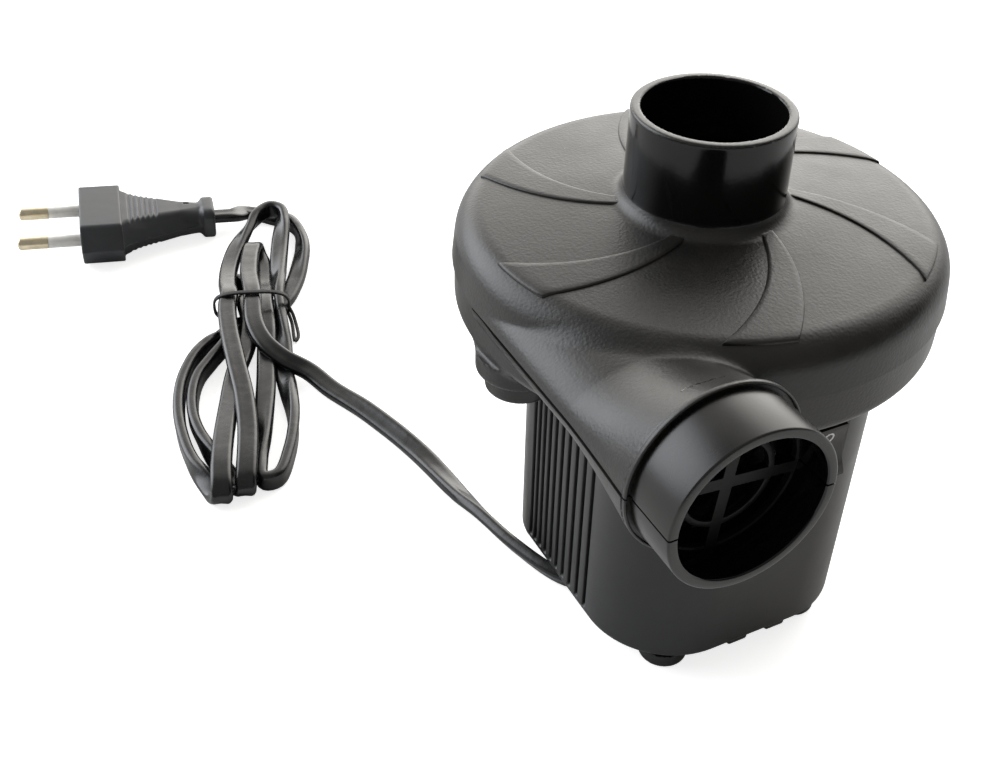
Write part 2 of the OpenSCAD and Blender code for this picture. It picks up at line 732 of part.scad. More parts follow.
module plug_body() {
    color([0.08, 0.08, 0.08]) in_plug() difference() {
        union() {
            hull() { plug_slice(0, 35.3, 13.7); plug_slice(12.4, 34, 13.7); }
            hull() { plug_slice(13, 31, 12.4); plug_slice(24, 22, 11.4); plug_slice(plug_len - 4, 9, 8); }
            hull() { plug_slice(plug_len - 4.5, 11, 9.6); plug_slice(plug_len - 0.6, 12, 10); }
        }
        for (s = [-1, 1]) translate([-1, s * pin_pitch / 2, 0])
            rotate([0, 90, 0]) cylinder(r = 1.55, h = 9, $fn = 32);
        translate([plug_len - 3, -2.85, -1.65]) cube([5, 5.7, 3.3]);
    }
}

module plug_pins() {
    bare = pin_len - 10;
    color("gold") in_plug() for (s = [-1, 1])
        translate([-pin_len, s * pin_pitch / 2, 0]) rotate([0, 90, 0]) {
            cylinder(r = pin_r - 0.5, h = pin_len + 7.9, $fn = 48);
            translate([0, 0, 1]) cylinder(r = pin_r, h = bare - 1, $fn = 48);
            cylinder(r1 = pin_r - 0.9, r2 = pin_r, h = 1.01, $fn = 48);
        }
}

module pin_sleeves() {
    color([0.85, 0.86, 0.87]) in_plug() for (s = [-1, 1]) translate([-9.98, s * pin_pitch / 2, 0])
        rotate([0, 90, 0]) ring(pin_r, pin_r - 0.48, 0, 9.96);
}

upper_cover();
lower_housing();
intake_guard();
outlet_guard();
housing_screws();
impeller();
impeller_bushing();
motor_shaft();
armature_core();
armature_windings();
commutator();
motor_can();
field_magnets();
motor_end_bell();
top_bearing();
bottom_bearing();
left_brush();
right_brush();
left_brush_holder();
right_brush_holder();
left_brush_spring();
right_brush_spring();
motor_terminals();
motor_damper();
motor_screws();
rectifier_board();
rectifier_diodes();
suppression_capacitor();
motor_casing();
casing_screws();
base_plate();
base_screws();
switch_body();
rocker_button();
switch_terminals();
switch_wires();
motor_wires();
cord_clamp();
cord_clamp_screws();
cable_grommet();
power_cable();
cable_tie();
plug_body();
plug_pins();
pin_sleeves();
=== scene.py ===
"""Looks for an electric air pump with a tied mains cable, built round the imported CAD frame.

Shapes are worked out in millimetres, in the frame's own axes, and become metres when a mesh is made.
Smooth moulded shells are signed distance fields, meshed on a grid and then pulled exactly onto the surface.
"""

import json
import math

import bmesh
import bpy
import numpy as np
from mathutils import Matrix, Vector


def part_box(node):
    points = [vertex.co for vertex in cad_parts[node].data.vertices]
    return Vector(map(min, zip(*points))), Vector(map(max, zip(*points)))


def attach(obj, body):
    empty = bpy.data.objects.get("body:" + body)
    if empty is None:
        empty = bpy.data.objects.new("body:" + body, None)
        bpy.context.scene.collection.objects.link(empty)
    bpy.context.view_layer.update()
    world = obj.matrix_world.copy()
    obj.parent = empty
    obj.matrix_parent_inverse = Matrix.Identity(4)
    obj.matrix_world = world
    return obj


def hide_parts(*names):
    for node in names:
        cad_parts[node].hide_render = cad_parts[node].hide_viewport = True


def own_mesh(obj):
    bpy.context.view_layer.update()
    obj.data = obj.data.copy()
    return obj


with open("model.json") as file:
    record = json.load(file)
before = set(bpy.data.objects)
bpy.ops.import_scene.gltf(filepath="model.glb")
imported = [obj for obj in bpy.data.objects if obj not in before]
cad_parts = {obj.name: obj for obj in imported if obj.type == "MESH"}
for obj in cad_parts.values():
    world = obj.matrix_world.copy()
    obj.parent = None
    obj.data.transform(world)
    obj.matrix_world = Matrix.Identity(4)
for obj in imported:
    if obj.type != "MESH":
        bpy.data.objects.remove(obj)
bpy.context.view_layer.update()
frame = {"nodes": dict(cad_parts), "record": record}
MM = 0.001
COARSE = 1.0


def node_box(node):
    """Lowest and highest corner of a CAD node, in millimetres."""
    return tuple(np.array(corner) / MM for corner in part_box(node))


def unit(degrees):
    """The cosine and sine of an angle in degrees."""
    return math.cos(math.radians(degrees)), math.sin(math.radians(degrees))


# ---- places, from the frame ----

cover_lo, cover_hi = node_box("upper_cover")
lower_lo = node_box("lower_housing")[0]
casing_lo, casing_hi = node_box("motor_casing")
guard_lo, guard_hi = node_box("outlet_guard")
switch_lo, switch_hi = node_box("switch_body")

GAP = 0.2  # half of the groove between two shells in the CAD
SEAM = 0.20  # half of the groove between the two housing halves
WALL = 2.2  # thickness of the housing
OUTLET_X = (guard_lo[0] + guard_hi[0]) / 2
PART_Z = (guard_lo[2] + guard_hi[2]) / 2  # parting plane of the housing
FLOOR_Z = casing_hi[2] + GAP  # underside of the lower housing
LOWER_H = PART_Z - FLOOR_Z
DISC_R = 50.0
SKIRT_R = DISC_R - 0.5
RIM_Z = cover_hi[2] - PART_Z  # intake rim above the parting plane
MOUTH_Y = cover_lo[1]
COLLAR_Y = MOUTH_Y + 11.1


# ---- signed distance helpers ----


def rounded_union(a, b, radius):
    """Both shapes, with a fillet where they meet."""
    outside = np.maximum(radius, np.minimum(a, b))
    return outside - np.hypot(np.maximum(radius - a, 0), np.maximum(radius - b, 0))


def rounded_overlap(a, b, radius):
    """What both shapes share, with its edge rounded."""
    inside = np.minimum(-radius, np.maximum(a, b))
    return inside + np.hypot(np.maximum(radius + a, 0), np.maximum(radius + b, 0))


def rounded_cut(a, b, radius):
    """The first shape without the second, with the edge rounded."""
    return rounded_overlap(a, -b, radius)


def box_section(u, v, half_u, half_v, corner):
    """A rectangle with rounded corners, in two dimensions."""
    qu = np.abs(u) - half_u + corner
    qv = np.abs(v) - half_v + corner
    return np.hypot(np.maximum(qu, 0), np.maximum(qv, 0)) + np.minimum(np.maximum(qu, qv), 0) - corner


def nearest(x, y, places):
    """Distance in plan to the nearest of several places."""
    return np.minimum.reduce([np.hypot(x - place[0], y - place[1]) for place in places])


def ease(t):
    """A smooth step from 0 to 1."""
    t = np.clip(t, 0, 1)
    return t * t * (3 - 2 * t)


def sample(field, lo, hi, cell):
    """The field on a regular grid. Blocks that are far from the surface get only their middle's value."""
    side = 8
    blocks = np.ceil((hi - lo) / (cell * side)).astype(int)
    starts = [lo[i] + np.arange(blocks[i]) * side * cell for i in range(3)]
    corner = np.stack(np.meshgrid(*starts, indexing="ij"), -1).reshape(-1, 3)
    rough = field(*(corner + (side - 1) / 2 * cell).T)
    near = np.flatnonzero(np.abs(rough) < side * cell * 1.4)
    steps = np.arange(side) * cell
    inner = np.stack(np.meshgrid(steps, steps, steps, indexing="ij"), -1).reshape(-1, 3)
    values = np.repeat(rough[:, None], side ** 3, 1)
    for chunk in np.array_split(near, max(1, len(near) // 300)):
        p = corner[chunk][:, None, :] + inner
        values[chunk] = field(p[..., 0], p[..., 1], p[..., 2])
    grid = values.reshape(*blocks, side, side, side).transpose(0, 3, 1, 4, 2, 5)
    return grid.reshape(blocks * side)


def crossing_points(grid, cells):
    """For each cell, the mean of the points where the surface crosses the cell's edges, in grid steps."""
    corners = [np.array(c) for c in np.ndindex(2, 2, 2)]
    total = np.zeros((len(cells), 3))
    hits = np.zeros(len(cells))
    for a in corners:
        for axis in range(3):
            if a[axis]:
                continue
            b = a.copy()
            b[axis] = 1
            fa = grid[tuple((cells + a).T)]
            fb = grid[tuple((cells + b).T)]
            crosses = (fa < 0) != (fb < 0)
            share = np.where(crosses, fa / np.where(crosses, fa - fb, 1), 0)
            total += crosses[:, None] * (a + share[:, None] * (b - a))
            hits += crosses
    return cells + total / hits[:, None]


def cell_quads(solid, index):
    """One quad round every grid edge that goes through the surface, facing outwards."""
    quads = []
    for k in range(3):
        step_i = np.eye(3, dtype=int)[(k + 1) % 3]
        step_j = np.eye(3, dtype=int)[(k + 2) % 3]
        first = np.take(solid, range(solid.shape[k] - 1), axis=k)
        second = np.take(solid, range(1, solid.shape[k]), axis=k)
        p = np.argwhere(first != second)
        around = [p, p - step_i, p - step_i - step_j, p - step_j]
        quad = np.stack([index[tuple(q.T)] for q in around], 1)
        outward = first[tuple(p.T)]
        quads.append(np.where(outward[:, None], quad, quad[:, ::-1]))
    return np.concatenate(quads)


def pull_to_surface(field, points, reach, rounds):
    """Moves points along the field's gradient onto the surface."""
    step = 0.02
    for _ in range(rounds):
        value = field(*points.T)
        slope = np.empty_like(points)
        for axis in range(3):
            offset = np.zeros(3)
            offset[axis] = step
            slope[:, axis] = field(*(points + offset).T) - field(*(points - offset).T)
        slope /= 2 * step
        move = -value[:, None] * slope / np.maximum((slope ** 2).sum(1), 0.05)[:, None]
        length = np.linalg.norm(move, axis=1)
        move *= np.minimum(1, reach / np.maximum(length, 1e-9))[:, None]
        points = points + move
    return points


def relax(points, quads):
    """Moves each point half way to the mean of its neighbours."""
    total = np.zeros_like(points)
    count = np.zeros(len(points))
    for a in range(4):
        for b in (quads[:, (a + 1) % 4], quads[:, (a + 3) % 4]):
            np.add.at(total, quads[:, a], points[b])
            np.add.at(count, quads[:, a], 1)
    return (points + total / count[:, None]) / 2


def shell_object(name, field, lo, hi, cell):
    """A closed mesh of the field's zero surface between the corners lo and hi."""
    cell = cell * COARSE
    margin = 2.5 * cell
    lo = np.array(lo) - margin
    hi = np.array(hi) + margin
    grid = sample(field, lo, hi, cell)
    solid = grid < 0
    size = np.array(solid.shape) - 1
    count = sum(solid[i:size[0] + i, j:size[1] + j, k:size[2] + k].astype(np.int8)
                for i, j, k in np.ndindex(2, 2, 2))
    mixed = (count > 0) & (count < 8)
    index = np.full(grid.shape, -1)
    index[:-1, :-1, :-1][mixed] = np.arange(mixed.sum())
    cells = np.argwhere(mixed)
    points = lo + cell * crossing_points(grid, cells)
    quads = cell_quads(solid, index)
    points = pull_to_surface(field, points, cell * 0.6, 2)
    points = relax(points, quads)
    points = pull_to_surface(field, points, cell * 0.6, 3)
    return mesh_object(name, points, quads.tolist())


# ---- mesh helpers ----


def mesh_object(name, points, faces, sharp_angle=40):
    """A smooth-shaded mesh object from points in millimetres."""
    mesh = bpy.data.meshes.new(name)
    mesh.from_pydata((np.array(points) * MM).tolist(), [], faces)
    mesh.validate()
    obj = bpy.data.objects.new(name, mesh)
    bpy.context.scene.collection.objects.link(obj)
    shade(obj, sharp_angle)
    return obj


def shade(obj, sharp_angle=40):
    """Smooth shading that stays sharp at edges above the angle, in degrees."""
    mesh = obj.data
    mesh.polygons.foreach_set("use_smooth", np.ones(len(mesh.polygons), bool))
    mesh.set_sharp_from_angle(angle=math.radians(sharp_angle))
    mesh.update()


def modify(obj, kind, **settings):
    """Adds a modifier."""
    modifier = obj.modifiers.new(kind.lower(), kind)
    for key, value in settings.items():
        setattr(modifier, key, value)


def combine(obj, other, operation):
    """Applies a boolean with another object, which is then removed."""
    modify(obj, "BOOLEAN", object=other, operation=operation, solver="MANIFOLD")
    graph = bpy.context.evaluated_depsgraph_get()
    result = bpy.data.meshes.new_from_object(obj.evaluated_get(graph))
    obj.modifiers.clear()
    obj.data = result
    bpy.data.objects.remove(other)
    shade(obj)
    return obj


def join(name, objects):
    """One object holding the meshes of several."""
    points, faces = [], []
    for obj in objects:
        base = len(points)
        points += [np.array(v.co) / MM for v in obj.data.vertices]
        faces += [[base + i for i in p.vertices] for p in obj.data.polygons]
        bpy.data.objects.remove(obj)
    return mesh_object(name, points, faces)


def loft(rings, closed=False):
    """Points and faces that join rings of points one after the other, with flat ends unless closed."""
    n = len(rings[0])
    points = [p for ring in rings for p in ring]
    faces = []
    last = len(rings) if closed else len(rings) - 1
    for i in range(last):
        j = (i + 1) % len(rings)
        for k in range(n):
            m = (k + 1) % n
            faces.append([i * n + k, i * n + m, j * n + m, j * n + k])
    if not closed:
        faces.append(list(range(n - 1, -1, -1)))
        faces.append([(len(rings) - 1) * n + k for k in range(n)])
    return points, faces


def lathe(name, profile, at, axis, sides=48):
    """A closed profile of (radius, distance along the axis) turned about the axis through at."""
    axis = Vector(axis).normalized()
    side = axis.orthogonal().normalized()
    other = axis.cross(side)
    at = Vector(at)
    rings = []
    for radius, along in profile:
        ring = [at + axis * along + radius * (side * math.cos(a) + other * math.sin(a))
                for a in np.linspace(0, 2 * math.pi, sides, endpoint=False)]
        rings.append(ring)
    points, faces = loft(rings, closed=True)
    return mesh_object(name, points, faces)


def curve_through(controls, spacing):
    """Evenly dense points along a smooth curve. Each row of controls starts with a place."""
    rows = np.array(controls, float)
    padded = np.vstack([2 * rows[0] - rows[1], rows, 2 * rows[-1] - rows[-2]])
    out = []
    for i in range(1, len(padded) - 2):
        a, b, c, d = padded[i - 1:i + 3]
        chord = [max(np.linalg.norm((q - p)[:3]), 1e-6) ** 0.5 for p, q in ((a, b), (b, c), (c, d))]
        steps = max(2, int(np.linalg.norm((c - b)[:3]) / spacing))
        for t in np.linspace(0, 1, steps, endpoint=False):
            m1 = chord[1] * ((b - a) / chord[0] - (c - a) / (chord[0] + chord[1]) + (c - b) / chord[1])
            m2 = chord[1] * ((c - b) / chord[1] - (d - b) / (chord[1] + chord[2]) + (d - c) / chord[2])
            out.append((2 * t ** 3 - 3 * t ** 2 + 1) * b + (t ** 3 - 2 * t ** 2 + t) * m1
                       + (3 * t ** 2 - 2 * t ** 3) * c + (t ** 3 - t ** 2) * m2)
    out.append(rows[-1])
    return np.array(out)


def sweep(name, path, width_dirs, section, closed=False):
    """A section of (across, thick) offsets carried along a path, its width pointing along width_dirs."""
    if closed:
        tangent = np.roll(path, -1, 0) - np.roll(path, 1, 0)
    else:
        tangent = np.gradient(path, axis=0)
    tangent /= np.linalg.norm(tangent, axis=1)[:, None]
    across = width_dirs - (width_dirs * tangent).sum(1)[:, None] * tangent
    across /= np.linalg.norm(across, axis=1)[:, None]
    thick = np.cross(tangent, across)
    rings = [[p + u * a + v * b for u, v in section] for p, a, b in zip(path, across, thick)]
    points, faces = loft(rings, closed)
    return mesh_object(name, points, faces, sharp_angle=60)


def rounded_section(half_u, half_v, corner, waist=0.0, per_corner=5):
    """A rounded rectangle as a loop of points, slightly waisted in the middle of its long sides."""
    loop = []
    for quarter in range(4):
        cu = (half_u - corner) * (1 if quarter in (0, 3) else -1)
        cv = (half_v - corner) * (1 if quarter in (0, 1) else -1)
        for a in np.linspace(quarter * 90, quarter * 90 + 90, per_corner):
            c, s = unit(a)
            loop.append((cu + corner * c, cv + corner * s))
        if quarter in (0, 2):
            sign = 1 if quarter == 0 else -1
            for f in (0.5, 0.0, -0.5):
                loop.append((sign * f * half_u * 0.6, sign * (half_v - waist * (1 - abs(f)))))
    return loop


# ---- fan housing ----

DOME_EDGE_R = 44.0
DOME_EDGE_Z = 10.8
DOME_SLOPE = 0.096
SHOULDER_R = 5.94
SHOULDER_Z = DOME_EDGE_Z - SHOULDER_R
TUBE_R = 16.0
TUBE_BORE = 14.0
TUBE_FILLET = 2.8
TUBE_FOOT_Z = 15.2  # where the intake tube rises out of its fillet
OUTLET_R = 16.2
OUTLET_BORE = 14.2
COLLAR_R = 17.4
COLLAR_WEB = 0.85  # the duct ends this far behind the collar's front
DUCT_X = (-33.75, -0.4)  # middle of the duct beside the fan, and its shift at the collar
DUCT_HALF = (16.35, 0.75)  # half its width beside the fan, and its growth at the collar
DUCT_UP = (8.6, 8.3)  # its height above the parting plane, in the same way
DUCT_DOWN = (8.0, 8.9)  # and below the parting plane
DUCT_RISE_Y = -36.0  # from here to the collar the duct gets taller
DUCT_FLARE = 1.35  # above 1, most of the rise is near the collar
LIP = 0.3  # how far the lower half stands proud along the seam
PETALS = 6
PETAL_START = 18.0  # distance of a petal's inner end from the fan axis
PETAL_REACH = 28.0
PETAL_BEARING = -75  # bearing of a petal's inner end, in degrees
BOSSES = [41.6 * np.array(unit(angle)) for angle in (184, 94, 4)]
SHAFT_HOLE_R = 6.6
HOUSING_CELL = 0.45


def dome_height(r):
    """Height of the dome's outer surface above the parting plane, at a distance r from the fan axis."""
    r = np.asarray(r, float)
    cone = DOME_EDGE_Z + (DOME_EDGE_R - r) * DOME_SLOPE
    edge = SKIRT_R - SHOULDER_R
    round_part = SHOULDER_Z + np.sqrt(np.maximum(SHOULDER_R ** 2 - np.maximum(r - edge, 0) ** 2, 0))
    return np.where(r < edge, cone, np.minimum(cone, round_part))


def upper_round(x, y, z):
    """The round upper half, without its tube."""
    r = np.hypot(x, y)
    top = (z - DOME_EDGE_Z - (DOME_EDGE_R - r) * DOME_SLOPE) * math.cos(DOME_SLOPE)
    side = r - SKIRT_R - 0.1 * np.maximum(SHOULDER_Z - z, 0)
    return rounded_overlap(top, side, SHOULDER_R)


def lower_round(x, y, z):
    """The round lower half."""
    return rounded_overlap(-LOWER_H - z, np.hypot(x, y) - SKIRT_R, 3)


def duct(x, y, z, grow=0.0):
    """The outlet duct. Its oval section is low beside the fan and nearly a circle at the collar."""
    rise = np.clip((DUCT_RISE_Y - y) / (DUCT_RISE_Y - COLLAR_Y - 1), 0, 1) ** DUCT_FLARE
    sizes = (DUCT_X, DUCT_HALF, DUCT_UP, DUCT_DOWN)
    middle, half_u, up, down = (start + growth * rise for start, growth in sizes)
    u = x - middle
    half_z = np.where(z > 0, up, down)
    share = np.hypot(u / half_u, z / half_z)
    slope = np.hypot(u / half_u ** 2, z / half_z ** 2)
    section = share * (share - 1) / np.maximum(slope, 1e-4) - grow
    return np.maximum(np.maximum(section, COLLAR_Y + COLLAR_WEB - y), y - 2)


def with_duct(body, x, y, z, grow=0.0):
    """A housing half's round body joined to the duct."""
    fillet = 0.3 + 1.9 * ease((-y - 12) / 16)
    return rounded_union(body, duct(x, y, z, grow), fillet)


def air_space(x, y, z):
    """The space the air goes through, inside both halves."""
    fan = np.maximum(upper_round(x, y, z), lower_round(x, y, z)) + WALL
    passage = duct(x, y, z) + WALL
    rho = np.hypot(x - OUTLET_X, z)
    bore = np.maximum(rho - OUTLET_BORE - 0.08, y - COLLAR_Y - 2)
    return np.minimum(np.minimum(fan, passage), bore)


def upper_cover_field(x, y, z):
    """The upper half with its tube. It is closed a little below the seam, where it is cut later."""
    z = z - PART_Z
    r = np.hypot(x, y)
    tube = rounded_overlap(r - TUBE_R - 0.008 * (RIM_Z - z), z - RIM_Z, 0.5)
    body = rounded_union(upper_round(x, y, z), tube, TUBE_FILLET)
    outer = with_duct(body, x, y, z)
    space = np.minimum(air_space(x, y, z), r - TUBE_BORE)
    return np.maximum(rounded_cut(outer, space, 0.4), -1.0 - z)


def bosses(x, y, z):
    """Three screw bosses under the housing and their holes, z from its underside."""
    r = nearest(x, y, BOSSES)
    post = rounded_overlap(r - 7.1, -7.9 - z, 0.8)
    pad = rounded_overlap(r - 9, -3.4 - z, 0.8)
    holes = np.minimum(np.maximum(r - 3.2, z + 4), r - 1.7)
    return np.maximum(rounded_union(post, pad, 0.8), z - 1), holes


def lower_housing_field(x, y, z):
    """The lower half with its screw bosses. It is closed a little above the seam, where it is cut later."""
    down = z - FLOOR_Z
    z = z - PART_Z
    outer = with_duct(lower_round(x, y, z), x, y, z, LIP * ease((-y - 2) / 8))
    posts, holes = bosses(x, y, down)
    outer = rounded_union(outer, posts, 1.2)
    space = np.minimum(air_space(x, y, z), np.maximum(np.hypot(x, y) - SHAFT_HOLE_R, z - 2))
    space = np.minimum(space, holes)
    return np.maximum(rounded_cut(outer, space, 0.4), z - 1.0)


def petal_solid(turn):
    """One raised blade on the dome, swept back as it goes out, with a softly rounded top edge."""
    along = np.linspace(-0.04, 1, 31)
    across = np.linspace(0, 1, 9)

    def layer(inset, lift):
        points = []
        for f in along:
            f = min(f, 1 - inset / PETAL_REACH)
            r = PETAL_START + PETAL_REACH * f
            swept = max(f, 0) ** 0.9
            trim = inset / (0.19 * r)
            for s in trim + across * (1 - 2 * trim):
                cos, sin = unit(turn + PETAL_BEARING - 27 * swept - (10 + 7 * swept) * s)
                z = PART_Z + float(dome_height(r)) + lift
                points.append((r * cos, r * sin, z))
        return points

    rows, columns = len(along), len(across)
    layers = [layer(0.3, 0.42), layer(0.1, 0.33), layer(0.0, 0.12), layer(0.0, -1.3)]
    size = rows * columns
    bottom = (len(layers) - 1) * size
    border = list(range(columns))
    border += [i * columns + columns - 1 for i in range(1, rows)]
    border += [size - 1 - i for i in range(1, columns)]
    border += [i * columns for i in range(rows - 2, 0, -1)]
    faces = []
    for i in range(rows - 1):
        for j in range(columns - 1):
            low, high = i * columns + j, (i + 1) * columns + j
            quad = [low, low + 1, high + 1, high]
            faces.append(quad)
            faces.append([bottom + q for q in reversed(quad)])
    for base in range(0, bottom, size):
        for a, b in zip(border, border[1:] + border[:1]):
            faces.append([base + b, base + a, base + size + a, base + size + b])
    return mesh_object("petal", sum(layers, []), faces)


def flip_if_inside_out(obj):
    """Turns a closed mesh's faces outwards."""
    work = bmesh.new()
    work.from_mesh(obj.data)
    loose = [v for v in work.verts if not v.link_faces]
    bmesh.ops.delete(work, geom=loose, context="VERTS")
    bmesh.ops.recalc_face_normals(work, faces=work.faces)
    work.to_mesh(obj.data)
    work.free()
    return obj


def outlet_end():
    """The outlet tube and its collar, a turned shape with a dark step where the tube leaves the collar."""
    bore, tube, lip_r = OUTLET_BORE, OUTLET_R, COLLAR_R
    rim = [(bore, 0.4), (bore + 0.06, 0.2), (bore + 0.2, 0.06), (bore + 0.4, 0)]
    rim += [(tube - 0.45, 0), (tube - 0.23, 0.06), (tube - 0.07, 0.2), (tube, 0.45)]
    step = [(tube, -0.35), (tube - 0.18, -0.2), (tube - 0.22, 0.68)]
    lip = [(lip_r - 0.54, 0.68), (lip_r - 0.5, 0.12), (lip_r - 0.4, 0.02), (lip_r - 0.28, -0.02)]
    lip += [(lip_r - 0.12, 0.03), (lip_r - 0.02, 0.16), (lip_r, 0.34)]
    lip += [(lip_r - 0.02, 0.92), (lip_r - 0.15, 1.08), (lip_r - 0.4, 1.12)]
    root = [(bore + 0.8, 1.14), (bore + 0.7, 1.5), (bore, 1.5)]
    profile = [(r, MOUTH_Y + along) for r, along in rim]
    profile += [(r, COLLAR_Y + along) for r, along in step + lip + root]
    return flip_if_inside_out(lathe("outlet_end", profile, (OUTLET_X, 0, PART_Z), (0, 1, 0), sides=168))


def housing_half(name, field, bottom, top, keep_above):
    """One half of the housing with its half of the outlet, cut flat along the seam."""
    lo = np.array([OUTLET_X - COLLAR_R, MOUTH_Y, bottom])
    hi = np.array([DISC_R, DISC_R, top])
    half = combine(shell_object(name, field, lo, hi, HOUSING_CELL), outlet_end(), "UNION")
    block_lo, block_hi = lo - 5, hi + 5
    if keep_above:
        block_lo[2] = PART_Z + SEAM
    else:
        block_hi[2] = PART_Z - SEAM
    return combine(half, slab("seam_cut", block_lo, block_hi), "INTERSECT")


def build_upper_cover():
    cover = housing_half("upper_cover_shell", upper_cover_field, PART_Z - 1, PART_Z + RIM_Z, True)
    petals = join("petals", [petal_solid(360 / PETALS * i) for i in range(PETALS)])
    flip_if_inside_out(petals)
    return combine(cover, petals, "UNION")


def build_lower_housing():
    return housing_half("lower_housing_shell", lower_housing_field, lower_lo[2], PART_Z + 1, False)


# ---- motor casing, base and switch ----

CASING_W = casing_hi[0]
CASING_FRONT = casing_lo[1]
CASING_BACK = casing_hi[1]
CASING_BOTTOM = casing_lo[2]
CASING_TOP = casing_hi[2]
FRONT_R = 20.0
BACK_R = 13.5
CASING_WALL = 3.0
GROOVES = [9.2 - 2 * k - 0.09 * k * k for k in range(10)]  # they get further apart towards the front
GROOVE_DEPTH = 1.3
MOTOR_HOLE_R = 19.7


def casing_outline():
    """The casing's plan as (x, y, outward x, outward y, share of groove depth), counter-clockwise."""

    def corner(r, y, angles):
        return [(CASING_W - r + r * c, y + r * s, c, s, 0.0) for c, s in map(unit, angles)]

    half = []
    for x in np.linspace(0, CASING_W - FRONT_R, 6, endpoint=False):
        half.append((x, CASING_FRONT, 0.0, -1.0, 0.0))
    half += corner(FRONT_R, CASING_FRONT + FRONT_R, np.linspace(-90, 0, 22, endpoint=False))
    profile = [(-0.95, 0), (-0.72, 0.05), (-0.6, 0.24), (-0.54, 0.7), (-0.42, 1), (0, 1)]
    profile += [(-u, d) for u, d in reversed(profile[:-1])]
    for middle in sorted(GROOVES):
        for u, depth in profile:
            half.append((CASING_W, middle + u, 1.0, 0.0, depth))
    half += corner(BACK_R, CASING_BACK - BACK_R, np.linspace(0, 90, 16, endpoint=False))
    for x in np.linspace(CASING_W - BACK_R, 0, 6):
        half.append((x, CASING_BACK, 0.0, 1.0, 0.0))
    mirrored = [(-x, y, -nx, ny, d) for x, y, nx, ny, d in half[1:-1]]
    return np.array(half + mirrored[::-1])


def build_motor_casing():
    outline = casing_outline()
    plan, outward, depth = outline[:, :2], outline[:, 2:4], outline[:, 4:]

    def ring(z, inset, groove=0.0):
        draft = 0.003 * (CASING_TOP - z)
        xy = plan - outward * (inset + draft + groove * depth * GROOVE_DEPTH)
        return [(x, y, z) for x, y in xy]

    def hole_ring(z):
        outward_plan = plan / np.linalg.norm(plan, axis=1)[:, None]
        return [(x, y, z) for x, y in outward_plan * MOTOR_HOLE_R]

    groove_start = CASING_BOTTOM + 1.5
    rings = [ring(CASING_BOTTOM, 1.1)]
    for a in (25, 50, 75, 90):
        r = math.radians(a)
        rings.append(ring(CASING_BOTTOM + 0.8 - 0.8 * math.cos(r), 0.8 - 0.8 * math.sin(r)))
    for step, share in ((0, 0.0), (0.15, 0.25), (0.4, 0.62), (0.7, 0.88), (1.1, 1.0)):
        rings.append(ring(groove_start + step, 0, share))
    for z in np.linspace(groove_start + 3, CASING_TOP - 1.2, 8):
        rings.append(ring(z, 0, 1.0))
    for down, inset in ((0.5, 0.0), (0.15, 0.15), (0.0, 0.5)):
        rings.append(ring(CASING_TOP - down, inset, 1.0))
    rings += [hole_ring(CASING_TOP), hole_ring(CASING_TOP - 2)]
    for z in (CASING_TOP - 2, CASING_TOP - 30, CASING_BOTTOM + 6, CASING_BOTTOM):
        rings.append(ring(z, CASING_WALL))
    points, faces = loft(rings, closed=True)
    casing = mesh_object("motor_casing_shell", points, faces, sharp_angle=50)
    flip_if_inside_out(casing)
    window_lo = np.array([switch_lo[0] + 0.3, CASING_FRONT - 3, switch_lo[2] + 0.7])
    window_hi = np.array([switch_hi[0] - 0.3, CASING_FRONT + 9, switch_hi[2] - 0.7])
    return combine(casing, slab("window", window_lo, window_hi), "DIFFERENCE")


def slab(name, lo, hi):
    """A cutting block between two corners."""
    ring = [(lo[0], lo[1]), (hi[0], lo[1]), (hi[0], hi[1]), (lo[0], hi[1])]
    points, faces = loft([[(x, y, z) for x, y in ring] for z in (lo[2], hi[2])])
    return flip_if_inside_out(mesh_object(name, points, faces))


def casing_plan(x, y, inset):
    """Signed distance in plan to the casing's outline moved inwards."""
    mid = (CASING_FRONT + CASING_BACK) / 2
    corner = np.where(y < mid, FRONT_R, BACK_R) - inset
    return box_section(x, y - mid, CASING_W - inset, (CASING_BACK - CASING_FRONT) / 2 - inset, corner)


FOOT_R = 5.4
FEET = [(side * x, y) for side in (-1, 1) for x, y in ((17.4, -29.6), (22.4, 15.4))]
FOOT_RECESS_R = 3.3
LATCH_TABS = (-3.4, 6.6)
CORD_HOLE_R = 3.6
CORD_AT = (-20, -10)


def base_plate_field(x, y, z):
    plan = casing_plan(x, y, CASING_WALL + GAP)
    plate = rounded_overlap(plan, np.abs(z - CASING_BOTTOM - 1.1) - 1.1, 0.3)
    plate = np.maximum(plate, CORD_HOLE_R - nearest(x, y, [CORD_AT]))
    slots = np.abs((x + 1.5) % 3 - 1.5) - 0.8
    slots = np.maximum(slots, np.maximum(np.abs(x - 4.5) - 11.4, np.abs(y - 2) - 12))
    plate = rounded_cut(plate, slots, 0.2)
    r = nearest(x, y, FEET)
    feet = np.maximum(rounded_overlap(r - FOOT_R - 0.03 * z, -z, 0.6), z - CASING_BOTTOM - 0.6)
    plate = np.minimum(plate, np.maximum(feet, np.maximum(FOOT_RECESS_R - r, z - 3.4)))
    for cx in LATCH_TABS:
        tab = box_section(x - cx, y - CASING_FRONT - 4.2, 2.6, 3.6, 0.6)
        plate = np.minimum(plate, rounded_overlap(tab, np.abs(z - CASING_BOTTOM + 0.05) - 1.2, 0.4))
    return plate


def build_base_plate():
    lo = (-CASING_W, CASING_FRONT, 0)
    hi = (CASING_W, CASING_BACK, CASING_BOTTOM + 2.3)
    return shell_object("base_plate_moulding", base_plate_field, lo, hi, 0.5)


SWITCH_X = (switch_lo[0] + switch_hi[0]) / 2
SWITCH_Z = (switch_lo[2] + switch_hi[2]) / 2
ROCKER_C, ROCKER_S = unit(8)  # the rocker rests tilted by 8 degrees


